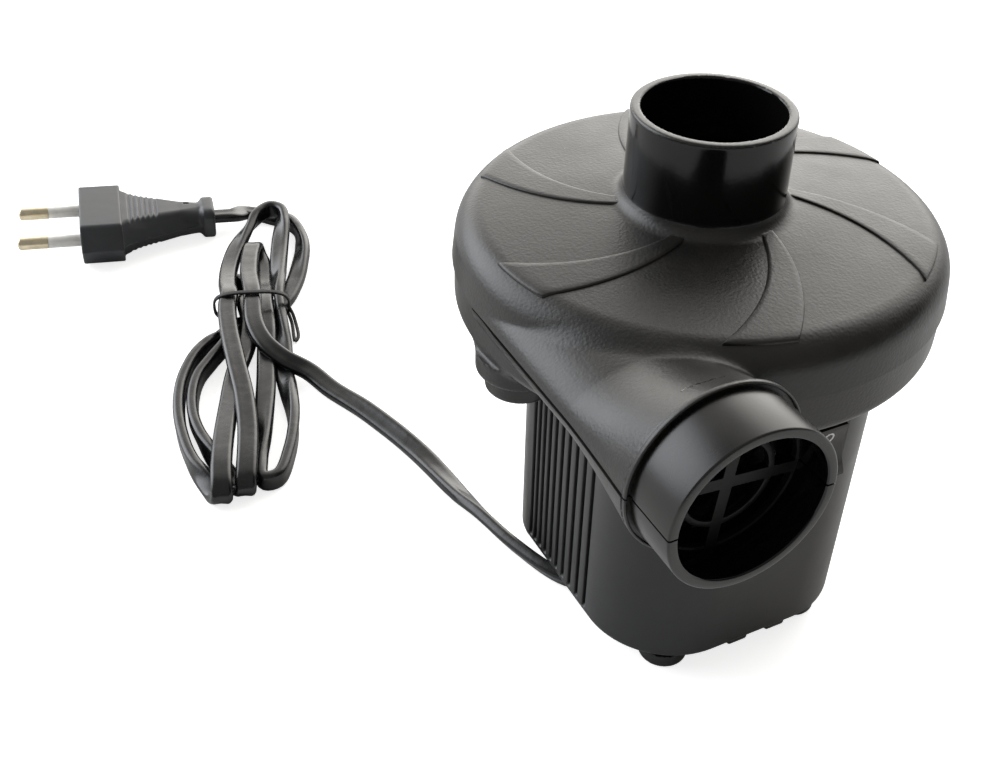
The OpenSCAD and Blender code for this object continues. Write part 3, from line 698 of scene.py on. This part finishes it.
def on_rocker(u, v, w):
    """A point in the rocker's own axes, u along its axle, v inwards and w up, turned to where it rests."""
    y = v * ROCKER_C + w * ROCKER_S
    z = -v * ROCKER_S + w * ROCKER_C
    return np.array([SWITCH_X + u, CASING_FRONT + y, SWITCH_Z + z])


def rocker_face(w):
    """How far out the rocker's dished face is at height w, in the rocker's axes."""
    return -3.1 + 1.1 * math.cos(math.radians(min(abs(w) / 5.2, 1) * 90))


def build_switch_marks():
    """The usual ring and bar for off and on, printed thinly on the rocker's face."""
    path = []
    for a in np.linspace(0, 2 * math.pi, 36, endpoint=False):
        w = 3.6 + 1.05 * math.sin(a)
        path.append(on_rocker(1.05 * math.cos(a), rocker_face(w) - 0.02, w))
    inward = np.repeat([[0.0, 1.0, 0.0]], len(path), 0)
    section = rounded_section(0.07, 0.2, 0.06)
    ring = sweep("off_mark", np.array(path), inward, section, closed=True)
    bar_path = [on_rocker(0, rocker_face(w) - 0.02, w) for w in np.linspace(-4.7, -2.5, 10)]
    bar = sweep("on_mark", np.array(bar_path), inward[:10], section)
    return join("switch_marks", [ring, bar])


# ---- mains cable ----

ACROSS = -20  # bearing of the line across the hank, in degrees
CABLE_HALF_W = 2.7
CABLE_HALF_T = 1.5


def edge(x, y, z=2.75):
    """A control point where the cable stands on its narrow side."""
    return (x, y, z, 90)


plug_lo, plug_hi = node_box("plug_body")
PLUG_FACE = np.array([-96.1, 195.2, 7.7])
PLUG_TURN = unit(-11.2)
PLUG_TILT = unit(3.5)
PLUG_LEN = 42.0
PLUG_ALONG = np.array([PLUG_TURN[0] * PLUG_TILT[0], PLUG_TURN[1] * PLUG_TILT[0], -PLUG_TILT[1]])
PLUG_SIDE = np.array([-PLUG_TURN[1], PLUG_TURN[0], 0])
PLUG_UP = np.cross(PLUG_ALONG, PLUG_SIDE)
PIN_OFFSET = 9.3  # half the distance between the pins
PIN_R = 2.0
PIN_LEN = 19.0


def in_plug(u, v=0.0, w=0.0):
    """A point in the plug's own axes: u from the pins' face to the cable, v to the side, w up."""
    return PLUG_FACE + u * PLUG_ALONG + v * PLUG_SIDE + w * PLUG_UP


def cable_controls():
    """The cable's course from the base to the plug.

    Each point is a place, then the cable's roll and the bearing of its width, 0 and ACROSS if left out.
    """
    run = [
        (*CORD_AT, 22), (*CORD_AT, 12), (*CORD_AT, 6), (-20.8, -9.4, 3.4, -5),
        (-23.6, -7, 2.6, -20), (-28.8, -2.4, 3.0, -50), (-33.6, 10.6, 3.1, -54), (-36.4, 24, 3.0, -50),
        (-37.8, 32.4, 2.6, -25), (-40.6, 54, 1.9, 12), (-46.4, 75, 2.0, 14), (-51.4, 88, 1.8, 4),
        (-54.8, 97, 3.0),
    ]
    short_lobe = [
        (-59.8, 103.5, 4.8), (-62.8, 110.5, 6.6), (-62.9, 119, 7.7), (-58.6, 134.8, 8.0),
        (-55.8, 147, 6.8), (-51.6, 158.6, 6.0), (-49.4, 163, 5.4), (-48.3, 164.8, 3.8),
        (-48.2, 162.8, 2.0), (-48.6, 157, 1.7), (-51.6, 146, 2.0), (-55.4, 134, 4.7),
    ]
    right_bow = [
        (-59.3, 120, 4.6), (-62.8, 110, 3.6), (-68.3, 94.1, 3.4), (-75.2, 76.5, 3.2, 20),
        (-79.6, 65, 2.9, 60), edge(-80.4, 58.8), edge(-77, 58.4), edge(-71.2, 66.4), (-65.6, 79, 2.7, 80),
        (-62.6, 92, 2.2, 40), (-60.6, 101.5, 1.7), (-57.6, 111, 1.9, 10), (-54.6, 122, 3.2, 50),
        edge(-51.2, 132.5, 4.4),
    ]
    long_lobe = [
        (-46.8, 146.5, 4.8, 30), (-41, 161.5, 5.4, 10), (-36.8, 171.5, 6.4, 45), edge(-34.9, 177.8, 7.0),
        edge(-37.6, 181, 7.0), edge(-42.5, 179, 6.6), (-48, 173.4, 5.6, 50), (-54.6, 164.8, 4.8, 10),
        (-60.2, 154, 4.8), (-63.8, 143, 6.4), (-65, 137, 7.7),
    ]
    left_fold = [
        (-67.6, 130.5, 7.7), (-70.6, 118.7, 7.7), (-73.4, 103.2, 7.6), (-75.8, 88.8, 7.2),
        (-79.2, 75, 6.8), (-83.4, 62.8, 6.4), (-85.3, 58.2, 5.2), (-85.9, 57.0, 3.4), (-86.2, 59, 1.8),
        (-87.6, 64.5, 1.6), (-89.2, 72, 2.2, 50),
    ]
    inner_bow = [
        edge(-90, 81), edge(-89.7, 90), edge(-87.5, 99), edge(-83.5, 107.3), edge(-78, 113.4),
        edge(-71.5, 120, 3.2), edge(-65.6, 136.6, 4.4), edge(-62, 146, 3.0), edge(-59.4, 149.6),
        edge(-57, 146, 3.0), (-60.8, 135.4, 4.6, 10),
    ]
    outer_bow = [
        (-62.8, 125, 4.6), (-67.4, 114, 4.5), (-74, 103, 4.4), (-80.5, 88, 5.4), (-86.3, 73.5, 6.6),
        (-90, 63, 6.9), (-91.5, 58, 5.9), (-92.1, 56.4, 3.8), (-92.6, 58.6, 2.0), (-93.6, 64.5, 2.0, 30),
        (-94.8, 72, 2.7, 80), edge(-94.4, 84), edge(-91.8, 97.5), edge(-86.8, 109.5), edge(-79, 119.5),
    ]
    tail = [
        (-70.5, 126, 1.8, 15), (-61, 130, 1.6), (-50.5, 134, 1.6), (-43.6, 142.3, 1.6),
        (-38.3, 151.4, 1.7, 20), (-33.8, 161.4, 2.4, 50), edge(-31.8, 171.7, 2.8),
        (-33.2, 178.5, 2.4, 55, 0), (-37.4, 184.6, 2.0, 10, 45), (-43.6, 189.3, 2.6, 0, 68),
    ]
    entry = [(*in_plug(PLUG_LEN + reach), 0, 79) for reach in (6, 2, -3)]
    hank = short_lobe + right_bow + long_lobe + left_fold + inner_bow + outer_bow
    return [tuple(point) + (0, ACROSS)[len(point) - 3:] for point in run + hank + tail + entry]


def build_cable():
    rows = curve_through(cable_controls(), 0.8 * COARSE)
    roll, bearing = np.radians(rows[:, 3:]).T
    width = np.stack([np.cos(roll) * np.cos(bearing), np.cos(roll) * np.sin(bearing), np.sin(roll)], 1)
    corner = 1.15
    reach_w = (CABLE_HALF_W - corner) * abs(np.sin(roll))
    reach_t = (CABLE_HALF_T - corner) * abs(np.cos(roll))
    depth = corner + reach_w + reach_t
    path = rows[:, :3].copy()
    path[:, 2] = np.maximum(path[:, 2], depth + 0.03)
    section = rounded_section(CABLE_HALF_W, CABLE_HALF_T, corner, waist=0.1)
    return sweep("mains_cable", path, width, section)


def build_cable_tie():
    """A thin tie round the hank with its two ends twisted into a tail."""
    middle = np.array([-59.9, 131.8, 5.25])
    across = np.array([*unit(ACROSS), 0])
    half_w, half_h, square = 11.0, 4.85, 3.2
    loop = []
    for a in np.linspace(0, 2 * math.pi, 64, endpoint=False):
        c, s = math.cos(a), math.sin(a)
        stretch = (abs(c) ** square + abs(s) ** square) ** (-1 / square)
        loop.append(middle + across * half_w * c * stretch + np.array([0, 0, half_h * s * stretch]))
    lengthwise = np.cross(across, [0, 0, 1])
    widths = np.repeat([lengthwise], len(loop), 0)
    band = sweep("tie_band", np.array(loop), widths, rounded_section(0.8, 0.35, 0.3), closed=True)
    course = [(-50.1, 128.2, 5.0), (-49.4, 126.4, 3.0), (-49.6, 123, 1.4), (-51.2, 116.5, 0.9),
              (-52.6, 115.2, 0.8), (-52.2, 117.4, 0.8), (-50.6, 123.6, 1.2), (-50, 129.6, 2.6)]
    tail = curve_through(course, 0.7)
    widths = np.repeat([[0.94, -0.34, 0.0]], len(tail), 0)
    wire = sweep("tie_tail", tail, widths, rounded_section(0.5, 0.4, 0.35))
    return join("cable_tie_wire", [band, wire])


def plug_field(x, y, z):
    """The plug's moulding: a six-sided block at the pins, a ribbed grip and a flared strain relief."""
    p = [x - PLUG_FACE[0], y - PLUG_FACE[1], z - PLUG_FACE[2]]
    u, v, w = (sum(p[i] * axis[i] for i in range(3)) for axis in (PLUG_ALONG, PLUG_SIDE, PLUG_UP))
    av, aw = np.abs(v), np.abs(w)

    def hexagon(half_v, half_w, radius):
        slanted = 0.832 * (av - half_v) + 0.555 * aw
        return rounded_overlap(aw - half_w, slanted, radius)

    block = rounded_overlap(hexagon(17.65, 6.85, 0.7), np.abs(u - 6.4) - 6.4, 0.6)
    taper = np.clip((u - 13) / 25, 0, 1)
    ribs = np.where((u > 14.6) & (u < 24.4), 0.28 * np.cos((u - 14.6) * 2 * math.pi / 1.63), 0.28)
    neck_v = 15.6 - 10.6 * taper ** 0.75
    neck_w = 6.2 - 2.0 * taper
    slanted = 0.78 * (av - neck_v) + 0.626 * aw
    grip = rounded_overlap(aw - neck_w + 0.28 - ribs * ease((neck_v - av - 1) / 3), slanted, 0.8)
    grip = np.maximum(grip, np.abs(u - 25) - 14.5)
    scoop = (np.sqrt(((u - 26) / 12) ** 2 + ((av - 12.4) / 6.5) ** 2 + ((aw - 7.2) / 5.2) ** 2) - 1) * 5.2
    grip = rounded_cut(grip, scoop, 0.8)
    flare = rounded_overlap(box_section(v, w, 6.2, 5.1, 2.6), np.abs(u - 40) - 2.0, 0.9)
    collar = rounded_overlap(box_section(v, w, 4.6, 4.0, 2.2), np.abs(u - 36) - 4.5, 0.5)
    body = rounded_union(np.minimum(block, grip), rounded_union(flare, collar, 1.6), 1.2)
    pocket = np.maximum(box_section(u - 33.4, v - 2.3, 0.9, 0.9, 0.2), 2.6 - w)
    body = rounded_cut(body, pocket, 0.15)
    sockets = np.maximum(np.hypot(av - PIN_OFFSET, w) - 1.55, u - 8)
    mouth = np.maximum(box_section(v, w, 2.85, 1.65, 1.2), PLUG_LEN - 3 - u)
    return np.maximum(body, -np.minimum(sockets, mouth))


def build_plug_body():
    return shell_object("plug_moulding", plug_field, plug_lo, plug_hi, 0.34)


def turned_pair(name, profile):
    """The same turned shape on both pins' axes. Distances in the profile are from the pins' face."""
    places = [in_plug(0, side * PIN_OFFSET) for side in (-1, 1)]
    return join(name, [lathe("one_side", profile, place, PLUG_ALONG) for place in places])


def build_pins():
    profile = [(0.02, -PIN_LEN), (PIN_R - 0.95, -PIN_LEN)]
    for a in np.linspace(0.2, math.pi / 2, 7):
        profile.append((PIN_R - 0.95 * (1 - math.sin(a)), -PIN_LEN + 0.95 * (1 - math.cos(a))))
    profile += [(PIN_R, -10.06), (1.94, -10.0), (1.5, -9.99), (1.5, 7.8), (0.02, 7.8)]
    return turned_pair("pins_brass", profile)


def build_sleeves():
    profile = [(1.52, -9.97), (1.82, -9.97), (1.9, -9.88), (1.9, -0.1), (1.52, -0.1)]
    return turned_pair("pins_sleeves", profile)


# ---- materials ----


def feed(tree, value, socket):
    """Links an input to another node's output, or sets its value."""
    if isinstance(value, bpy.types.NodeSocket):
        tree.links.new(value, socket)
    else:
        socket.default_value = value


def new_node(tree, kind, inputs=None, **settings):
    """A shader node with its settings and inputs."""
    node = tree.nodes.new("ShaderNode" + kind)
    for key, value in settings.items():
        setattr(node, key, value)
    for key, value in (inputs or {}).items():
        feed(tree, value, node.inputs[key])
    return node


class Surface:
    """A material's node tree, built step by step. Textures are in object space, scaled in millimetres."""

    def __init__(self, name):
        self.material = bpy.data.materials.new(name)
        self.material.use_nodes = True
        self.tree = self.material.node_tree
        self.principled = self.tree.nodes["Principled BSDF"]
        self.place = self.add("TexCoord").outputs["Object"]

    def add(self, kind, inputs=None, **settings):
        return new_node(self.tree, kind, inputs, **settings)

    def set(self, name, value):
        feed(self.tree, value, self.principled.inputs[name])

    def noise(self, size_mm, detail=2.0, vector=None):
        inputs = {"Vector": vector or self.place, "Scale": 1 / (size_mm * MM), "Detail": detail}
        return self.add("TexNoise", {**inputs, "Roughness": 0.6}).outputs["Fac"]

    def cells(self, size_mm, feature="F1", output="Distance"):
        inputs = {"Vector": self.place, "Scale": 1 / (size_mm * MM)}
        return self.add("TexVoronoi", inputs, feature=feature).outputs[output]

    def math(self, operation, a, b=0.0):
        return self.add("Math", {0: a, 1: b}, operation=operation).outputs[0]

    def remap(self, value, lo, hi, to_lo, to_hi):
        inputs = {"Value": value, "From Min": lo, "From Max": hi, "To Min": to_lo, "To Max": to_hi}
        return self.add("MapRange", inputs).outputs["Result"]

    def blend(self, share, a, b):
        inputs = {"Factor": share, 6: a, 7: b}
        return self.add("Mix", inputs, data_type="RGBA").outputs[2]

    def clouded(self, cloud, dark, pale):
        """A colour that drifts between two tones."""
        return self.blend(self.remap(cloud, 0.35, 0.65, 0, 1), dark, pale)

    def bump(self, height, depth_mm, strength=1.0):
        inputs = {"Height": height, "Distance": depth_mm * MM, "Strength": strength}
        self.set("Normal", self.add("Bump", inputs).outputs["Normal"])


NEUTRAL = (1.0, 1.0, 1.0)


def grey(value, tint=NEUTRAL):
    return (value * tint[0], value * tint[1], value * tint[2], 1.0)


def dust(surface, colour, amount=0.06):
    """Adds a few pale specks to a colour."""
    spots = surface.cells(6.5)
    chance = surface.cells(6.5, output="Color")
    size = surface.remap(chance, 1 - amount * 6, 1.0, 0.0, 0.035)
    speck = surface.math("LESS_THAN", spots, size)
    return surface.blend(speck, colour, grey(0.45))


def housing_plastic():
    """Black moulded plastic with a fine leather grain, smooth and glossy where polish is 1."""
    s = Surface("housing_plastic")
    polish = s.add("Attribute", attribute_name="polish").outputs["Fac"]
    cloud = s.noise(14.0, 4.0)
    tone = s.clouded(cloud, grey(0.0075, (1.05, 1.0, 0.94)), grey(0.0125, (1.1, 1.0, 0.86)))
    s.set("Base Color", dust(s, s.blend(polish, tone, grey(0.0035))))
    grain = s.cells(0.6, feature="SMOOTH_F1")
    pebble = s.math("ADD", s.math("MULTIPLY", grain, 1.05), s.math("MULTIPLY", s.noise(0.4, 2.0), 0.5))
    waves = s.math("MULTIPLY", s.noise(9.0, 1.0), 1.6)
    s.set("Specular IOR Level", s.remap(polish, 0.35, 1, 0.5, 0.33))
    rough = s.remap(cloud, 0.3, 0.7, 0.33, 0.42)
    s.set("Roughness", s.math("MULTIPLY", rough, s.remap(polish, 0, 1, 1.0, 0.36)))
    height = s.math("MULTIPLY", s.math("ADD", pebble, waves), s.remap(polish, 0, 0.35, 1.0, 0.1))
    s.bump(height, 0.036)
    return s.material


def smooth_plastic(name, tone, roughness, texture_mm=0.35, depth_mm=0.006, tint=NEUTRAL, shine=0.5):
    """Moulded plastic with a fine spark texture and slight clouding."""
    s = Surface(name)
    cloud = s.noise(10.0, 3.0)
    colour = s.clouded(cloud, grey(tone * 0.85, tint), grey(tone * 1.15, tint))
    s.set("Base Color", dust(s, colour, 0.03))
    s.set("Roughness", s.remap(cloud, 0.3, 0.7, roughness * 0.9, roughness * 1.12))
    s.set("Specular IOR Level", shine)
    spark = s.math("ADD", s.noise(texture_mm, 3.0), s.math("MULTIPLY", s.noise(7.0, 1.0), 5.0))
    s.bump(spark, depth_mm)
    return s.material


def cable_pvc():
    """Glossy black flex with faint draw marks and a little dust."""
    s = Surface("cable_pvc")
    cloud = s.noise(6.0, 3.0)
    tint = (0.95, 1.0, 1.06)
    colour = s.clouded(cloud, grey(0.006, tint), grey(0.011, tint))
    s.set("Base Color", dust(s, colour, 0.04))
    s.set("Roughness", s.remap(cloud, 0.3, 0.7, 0.2, 0.3))
    s.bump(s.math("ADD", s.noise(1.6, 3.0), s.math("MULTIPLY", s.noise(4.0, 1.0), 2.0)), 0.035)
    return s.material


def metal(name, colour, roughness, brush_mm=0.2, stretch=(1.0, 1.0, 0.08)):
    """Bare metal with fine brushed lines and slight staining."""
    s = Surface(name)
    stain = s.noise(2.5, 4.0)
    darker = tuple(c * 0.72 for c in colour[:3]) + (1.0,)
    s.set("Base Color", s.blend(s.remap(stain, 0.35, 0.7, 0, 0.8), colour, darker))
    s.set("Metallic", 1.0)
    s.set("Roughness", s.remap(stain, 0.3, 0.7, roughness * 0.8, roughness * 1.3))
    stretched = s.add("Mapping", {"Vector": s.place, "Scale": stretch}).outputs["Vector"]
    s.bump(s.noise(brush_mm, 2.0, stretched), 0.006)
    return s.material


def wound_copper():
    """Enamelled wire, laid side by side, with painted shade in the grooves between the turns."""
    s = Surface("enamelled_copper")
    wave = s.add("TexWave", {"Vector": s.place, "Scale": 900.0, "Distortion": 1.5, "Detail": 1.0})
    turns_and_painted_shade = wave.outputs["Fac"]
    # The colour goes dark between the turns: painted shade in the grooves, while the bump gives the turns'
    # relief.
    s.set("Base Color", s.blend(turns_and_painted_shade, (0.22, 0.06, 0.02, 1), (0.62, 0.24, 0.08, 1)))
    s.set("Metallic", 0.6)
    s.set("Roughness", 0.3)
    s.bump(turns_and_painted_shade, 0.12)
    return s.material


def laminations():
    """Stacked steel sheets, seen as fine lines across the axis."""
    s = Surface("lamination_steel")
    stack = s.add("TexWave", {"Vector": s.place, "Scale": 600.0}, bands_direction="Z").outputs["Fac"]
    s.set("Base Color", s.blend(stack, (0.18, 0.18, 0.19, 1), (0.42, 0.42, 0.44, 1)))
    s.set("Metallic", 0.9)
    s.set("Roughness", s.remap(s.noise(2.0), 0.3, 0.7, 0.35, 0.55))
    s.bump(stack, 0.05)
    return s.material


def circuit_board():
    """Green solder mask over faint copper tracks."""
    s = Surface("board")
    track = s.remap(s.cells(3.5), 0.42, 0.46, 0, 1)
    s.set("Base Color", s.blend(track, (0.012, 0.09, 0.03, 1), (0.03, 0.16, 0.06, 1)))
    s.set("Roughness", s.remap(s.noise(1.5), 0.3, 0.7, 0.25, 0.4))
    s.bump(track, 0.03)
    return s.material


# Tone, roughness, size and depth of the texture in millimetres, tint and shine.
PLASTICS = {
    "casing_plastic": (0.011, 0.34, 0.4, 0.008),
    # guard_plastic's tone is darker than the other black plastics: painted shade for the guards deep inside
    # the tubes.
    "guard_plastic": (0.005, 0.42, 0.35, 0.006, NEUTRAL, 0.22),
    "impeller_plastic": (0.5, 0.45, 0.5, 0.01, (1.04, 1.0, 0.95)),
    "switch_plastic": (0.008, 0.24, 0.6, 0.006, (1.3, 1.0, 0.9)),
    "plug_pvc": (0.04, 0.42, 0.5, 0.02, (0.94, 1.0, 1.12)),
    "rubber": (0.01, 0.6, 0.6, 0.02),
    "sleeve_plastic": (0.85, 0.35, 0.5, 0.008, (1.0, 0.99, 0.95)),
    "ferrite": (0.05, 0.6, 0.3, 0.03),
    "carbon": (0.03, 0.5, 0.2, 0.02),
    "end_bell_plastic": (0.03, 0.4),
    "capacitor_film": (0.35, 0.3, 0.8, 0.01, (1.2, 0.85, 0.2)),
    "wire_red": (0.25, 0.35, 0.8, 0.01, (1.6, 0.12, 0.1)),
    "wire_blue": (0.25, 0.35, 0.8, 0.01, (0.1, 0.3, 1.5)),
}

# Colour and roughness. Bronze is sintered, so its texture is even in all directions.
METALS = {
    "brass": ((0.78, 0.69, 0.50, 1), 0.34),
    "bronze": ((0.42, 0.27, 0.12, 1), 0.5, 0.4, (1, 1, 1)),
    "zinc_steel": ((0.58, 0.59, 0.6, 1), 0.35),
    "ground_steel": ((0.6, 0.6, 0.62, 1), 0.2),
    "copper": ((0.72, 0.33, 0.17, 1), 0.3),
}


def make_finishes():
    """One material for every slot of the record."""
    made = {"housing_plastic": housing_plastic(), "cable_pvc": cable_pvc(), "board": circuit_board(),
            "lamination_steel": laminations(), "enamelled_copper": wound_copper()}
    made.update({name: smooth_plastic(name, *look) for name, look in PLASTICS.items()})
    made.update({name: metal(name, *look) for name, look in METALS.items()})
    return made


def mark_paint():
    """Off-white printing ink with a slightly uneven tone."""
    s = Surface("mark_paint")
    s.set("Base Color", s.blend(s.noise(0.4), grey(0.5), grey(0.8)))
    s.set("Roughness", 0.5)
    s.bump(s.noise(0.2), 0.004)
    return s.material


def give(obj, material):
    obj.data.materials.clear()
    obj.data.materials.append(material)


def polish_tubes(obj):
    """Stores how glossy the housing is: 1 on the intake tube and in the bores, 0 where it is grained."""
    x, y, z = np.array([vertex.co for vertex in obj.data.vertices]).T / MM
    z -= PART_Z
    r = np.hypot(x, y)
    below_rim = 1 - ease((z - RIM_Z + 0.45) / 0.2) * 0.75
    intake = ease((z - TUBE_FOOT_Z) / 1.2) * ease((20 - r) / 2) * below_rim
    rho = np.hypot(x - OUTLET_X, z)
    outlet = ease((COLLAR_Y - y) / 0.4) * ease((19 - rho) / 1) * 0.35
    bores = np.where((r < TUBE_BORE + 0.3) & (z > 8), 1.0, 0.0)
    bores = np.maximum(bores, np.where((rho < OUTLET_BORE + 0.3) & (y < COLLAR_Y + 6), 1.0, 0.0))
    attribute = obj.data.attributes.new("polish", "FLOAT", "POINT")
    polish = np.clip(np.maximum(intake + outlet, bores), 0, 1)
    attribute.data.foreach_set("value", polish.astype(np.float32))


def soften_edges(obj):
    """Small bevels on a CAD node's sharp edges, as modifiers."""
    modify(obj, "WELD", merge_threshold=1e-6)
    modify(obj, "BEVEL", width=0.15 * MM, segments=2, limit_method="ANGLE",
           angle_limit=math.radians(40), use_clamp_overlap=True)
    for polygon in obj.data.polygons:
        polygon.use_smooth = True
    modify(obj, "WEIGHTED_NORMAL", keep_sharp=True)


# ---- the piece list ----

finishes = make_finishes()
slots = {part["node"]: part["material_slot"] for part in frame["record"]["subparts"]}
for node, obj in frame["nodes"].items():
    give(obj, finishes[slots[node]])
for node in ("intake_guard", "outlet_guard", "switch_body", "rocker_button"):
    soften_edges(frame["nodes"][node])


def stand_in(obj, node):
    """Puts a finished piece in place of a CAD node of the pump's body, with the node's finish."""
    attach(obj, "pump_body")
    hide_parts(node)
    give(obj, finishes[slots[node]])
    return obj


BUILDERS = {
    "upper_cover": build_upper_cover, "lower_housing": build_lower_housing,
    "motor_casing": build_motor_casing, "base_plate": build_base_plate,
    "power_cable": build_cable, "cable_tie": build_cable_tie,
    "plug_body": build_plug_body, "plug_pins": build_pins, "pin_sleeves": build_sleeves,
}
for node, build in BUILDERS.items():
    piece = stand_in(build(), node)
    if node in ("upper_cover", "lower_housing"):
        polish_tubes(piece)

marks = build_switch_marks()
give(marks, mark_paint())
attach(marks, "rocker")

for side, sign in (("left", -1), ("right", 1)):
    spring = frame["nodes"][side + "_brush_spring"]
    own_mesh(spring)


# ---- floor, light and camera ----


FLOOR_REACH = 3000


def build_floor():
    """A plain white floor that runs on past the picture."""
    corners = [(FLOOR_REACH * i, FLOOR_REACH * j, 0) for i, j in ((-1, -1), (1, -1), (1, 1), (-1, 1))]
    floor = mesh_object("floor", corners, [[0, 1, 2, 3]])
    s = Surface("floor_white")
    s.set("Base Color", s.blend(s.noise(30.0), grey(0.84), grey(0.88)))
    s.set("Roughness", 0.8)
    s.set("Specular IOR Level", 0.0)
    s.set("Emission Color", grey(1.0))
    s.set("Emission Strength", s.math("MULTIPLY", s.add("LightPath").outputs["Is Camera Ray"], 0.75))
    give(floor, s.material)


BEHIND = 90 - 27  # bearing of the bright side in degrees, away from the camera
WARM_LIGHT = (1.0, 0.975, 0.93, 1)
COOL_LIGHT = (0.95, 0.98, 1.03, 1)


def build_world():
    """Soft studio surroundings: bright behind the object and to its left, dark on the camera's side."""
    world = bpy.data.worlds.new("studio")
    bpy.context.scene.world = world
    world.use_nodes = True
    tree = world.node_tree
    tree.nodes.clear()

    def node(kind, inputs=None, **settings):
        return new_node(tree, kind, inputs, **settings)

    direction = node("TexCoord").outputs["Generated"]

    def glow(bearing, rise, edge_cos, strength):
        """Light that grows towards one direction, from where the cosine to it is edge_cos."""
        (east, north), (level, up) = unit(bearing), unit(rise)
        towards = (east * level, north * level, up)
        facing = node("VectorMath", {0: direction, 1: towards}, operation="DOT_PRODUCT").outputs["Value"]
        inputs = {"Value": facing, "From Min": edge_cos, "From Max": 1.0, "To Min": 0.0, "To Max": strength}
        return node("MapRange", inputs, interpolation_type="SMOOTHSTEP").outputs["Result"]

    def mixed(base, lobes, tint):
        """A background of several glows over a base level, in one tint."""
        total = base
        for lobe in lobes:
            total = node("Math", {0: lobe, 1: total}, operation="ADD").outputs[0]
        return node("Background", {"Color": tint, "Strength": total}).outputs[0]

    lobes = [glow(BEHIND, 4, 0.76, 2.2), glow(BEHIND, 24, 0.45, 1.15),
             glow(BEHIND - 36, 28, 0.80, 2.5), glow(BEHIND + 180, 55, 0.2, 0.28)]
    warm = mixed(0.03, lobes, WARM_LIGHT)
    cool = mixed(0.02, [glow(BEHIND + 68, 22, 0.76, 4.8)], COOL_LIGHT)
    lit = node("AddShader", {0: warm, 1: cool})
    seen = node("Background", {"Color": (1, 1, 1, 1), "Strength": 1.0})
    ray = node("LightPath").outputs["Is Camera Ray"]
    mix = node("MixShader", {0: ray, 1: lit.outputs[0], 2: seen.outputs[0]})
    node("OutputWorld", {"Surface": mix.outputs[0]})


CAMERA_AT = (-139.15, -182.72, 222.47)
AZIMUTH, ELEVATION, ROLL = -26.98, 37.96, 1.13


def build_camera():
    """A camera at the photograph's viewing angle."""
    (az_c, az_s), (el_c, el_s), (roll_c, roll_s) = unit(AZIMUTH), unit(ELEVATION), unit(ROLL)
    forward = Vector((-az_s * el_c, az_c * el_c, -el_s))
    right = Vector((az_c, az_s, 0))
    up = right.cross(forward)
    turned_right = roll_c * right + roll_s * up
    turned_up = roll_c * up - roll_s * right
    data = bpy.data.cameras.new("camera")
    data.sensor_width = 36
    data.lens = 47.02
    data.clip_start = 0.01
    camera = bpy.data.objects.new("camera", data)
    rotation = Matrix((turned_right, turned_up, -forward)).transposed()
    camera.matrix_world = Matrix.Translation(Vector(CAMERA_AT) * MM) @ rotation.to_4x4()
    bpy.context.scene.collection.objects.link(camera)
    bpy.context.scene.camera = camera


build_floor()
build_world()
build_camera()
bpy.context.scene.view_settings.view_transform = "Standard"
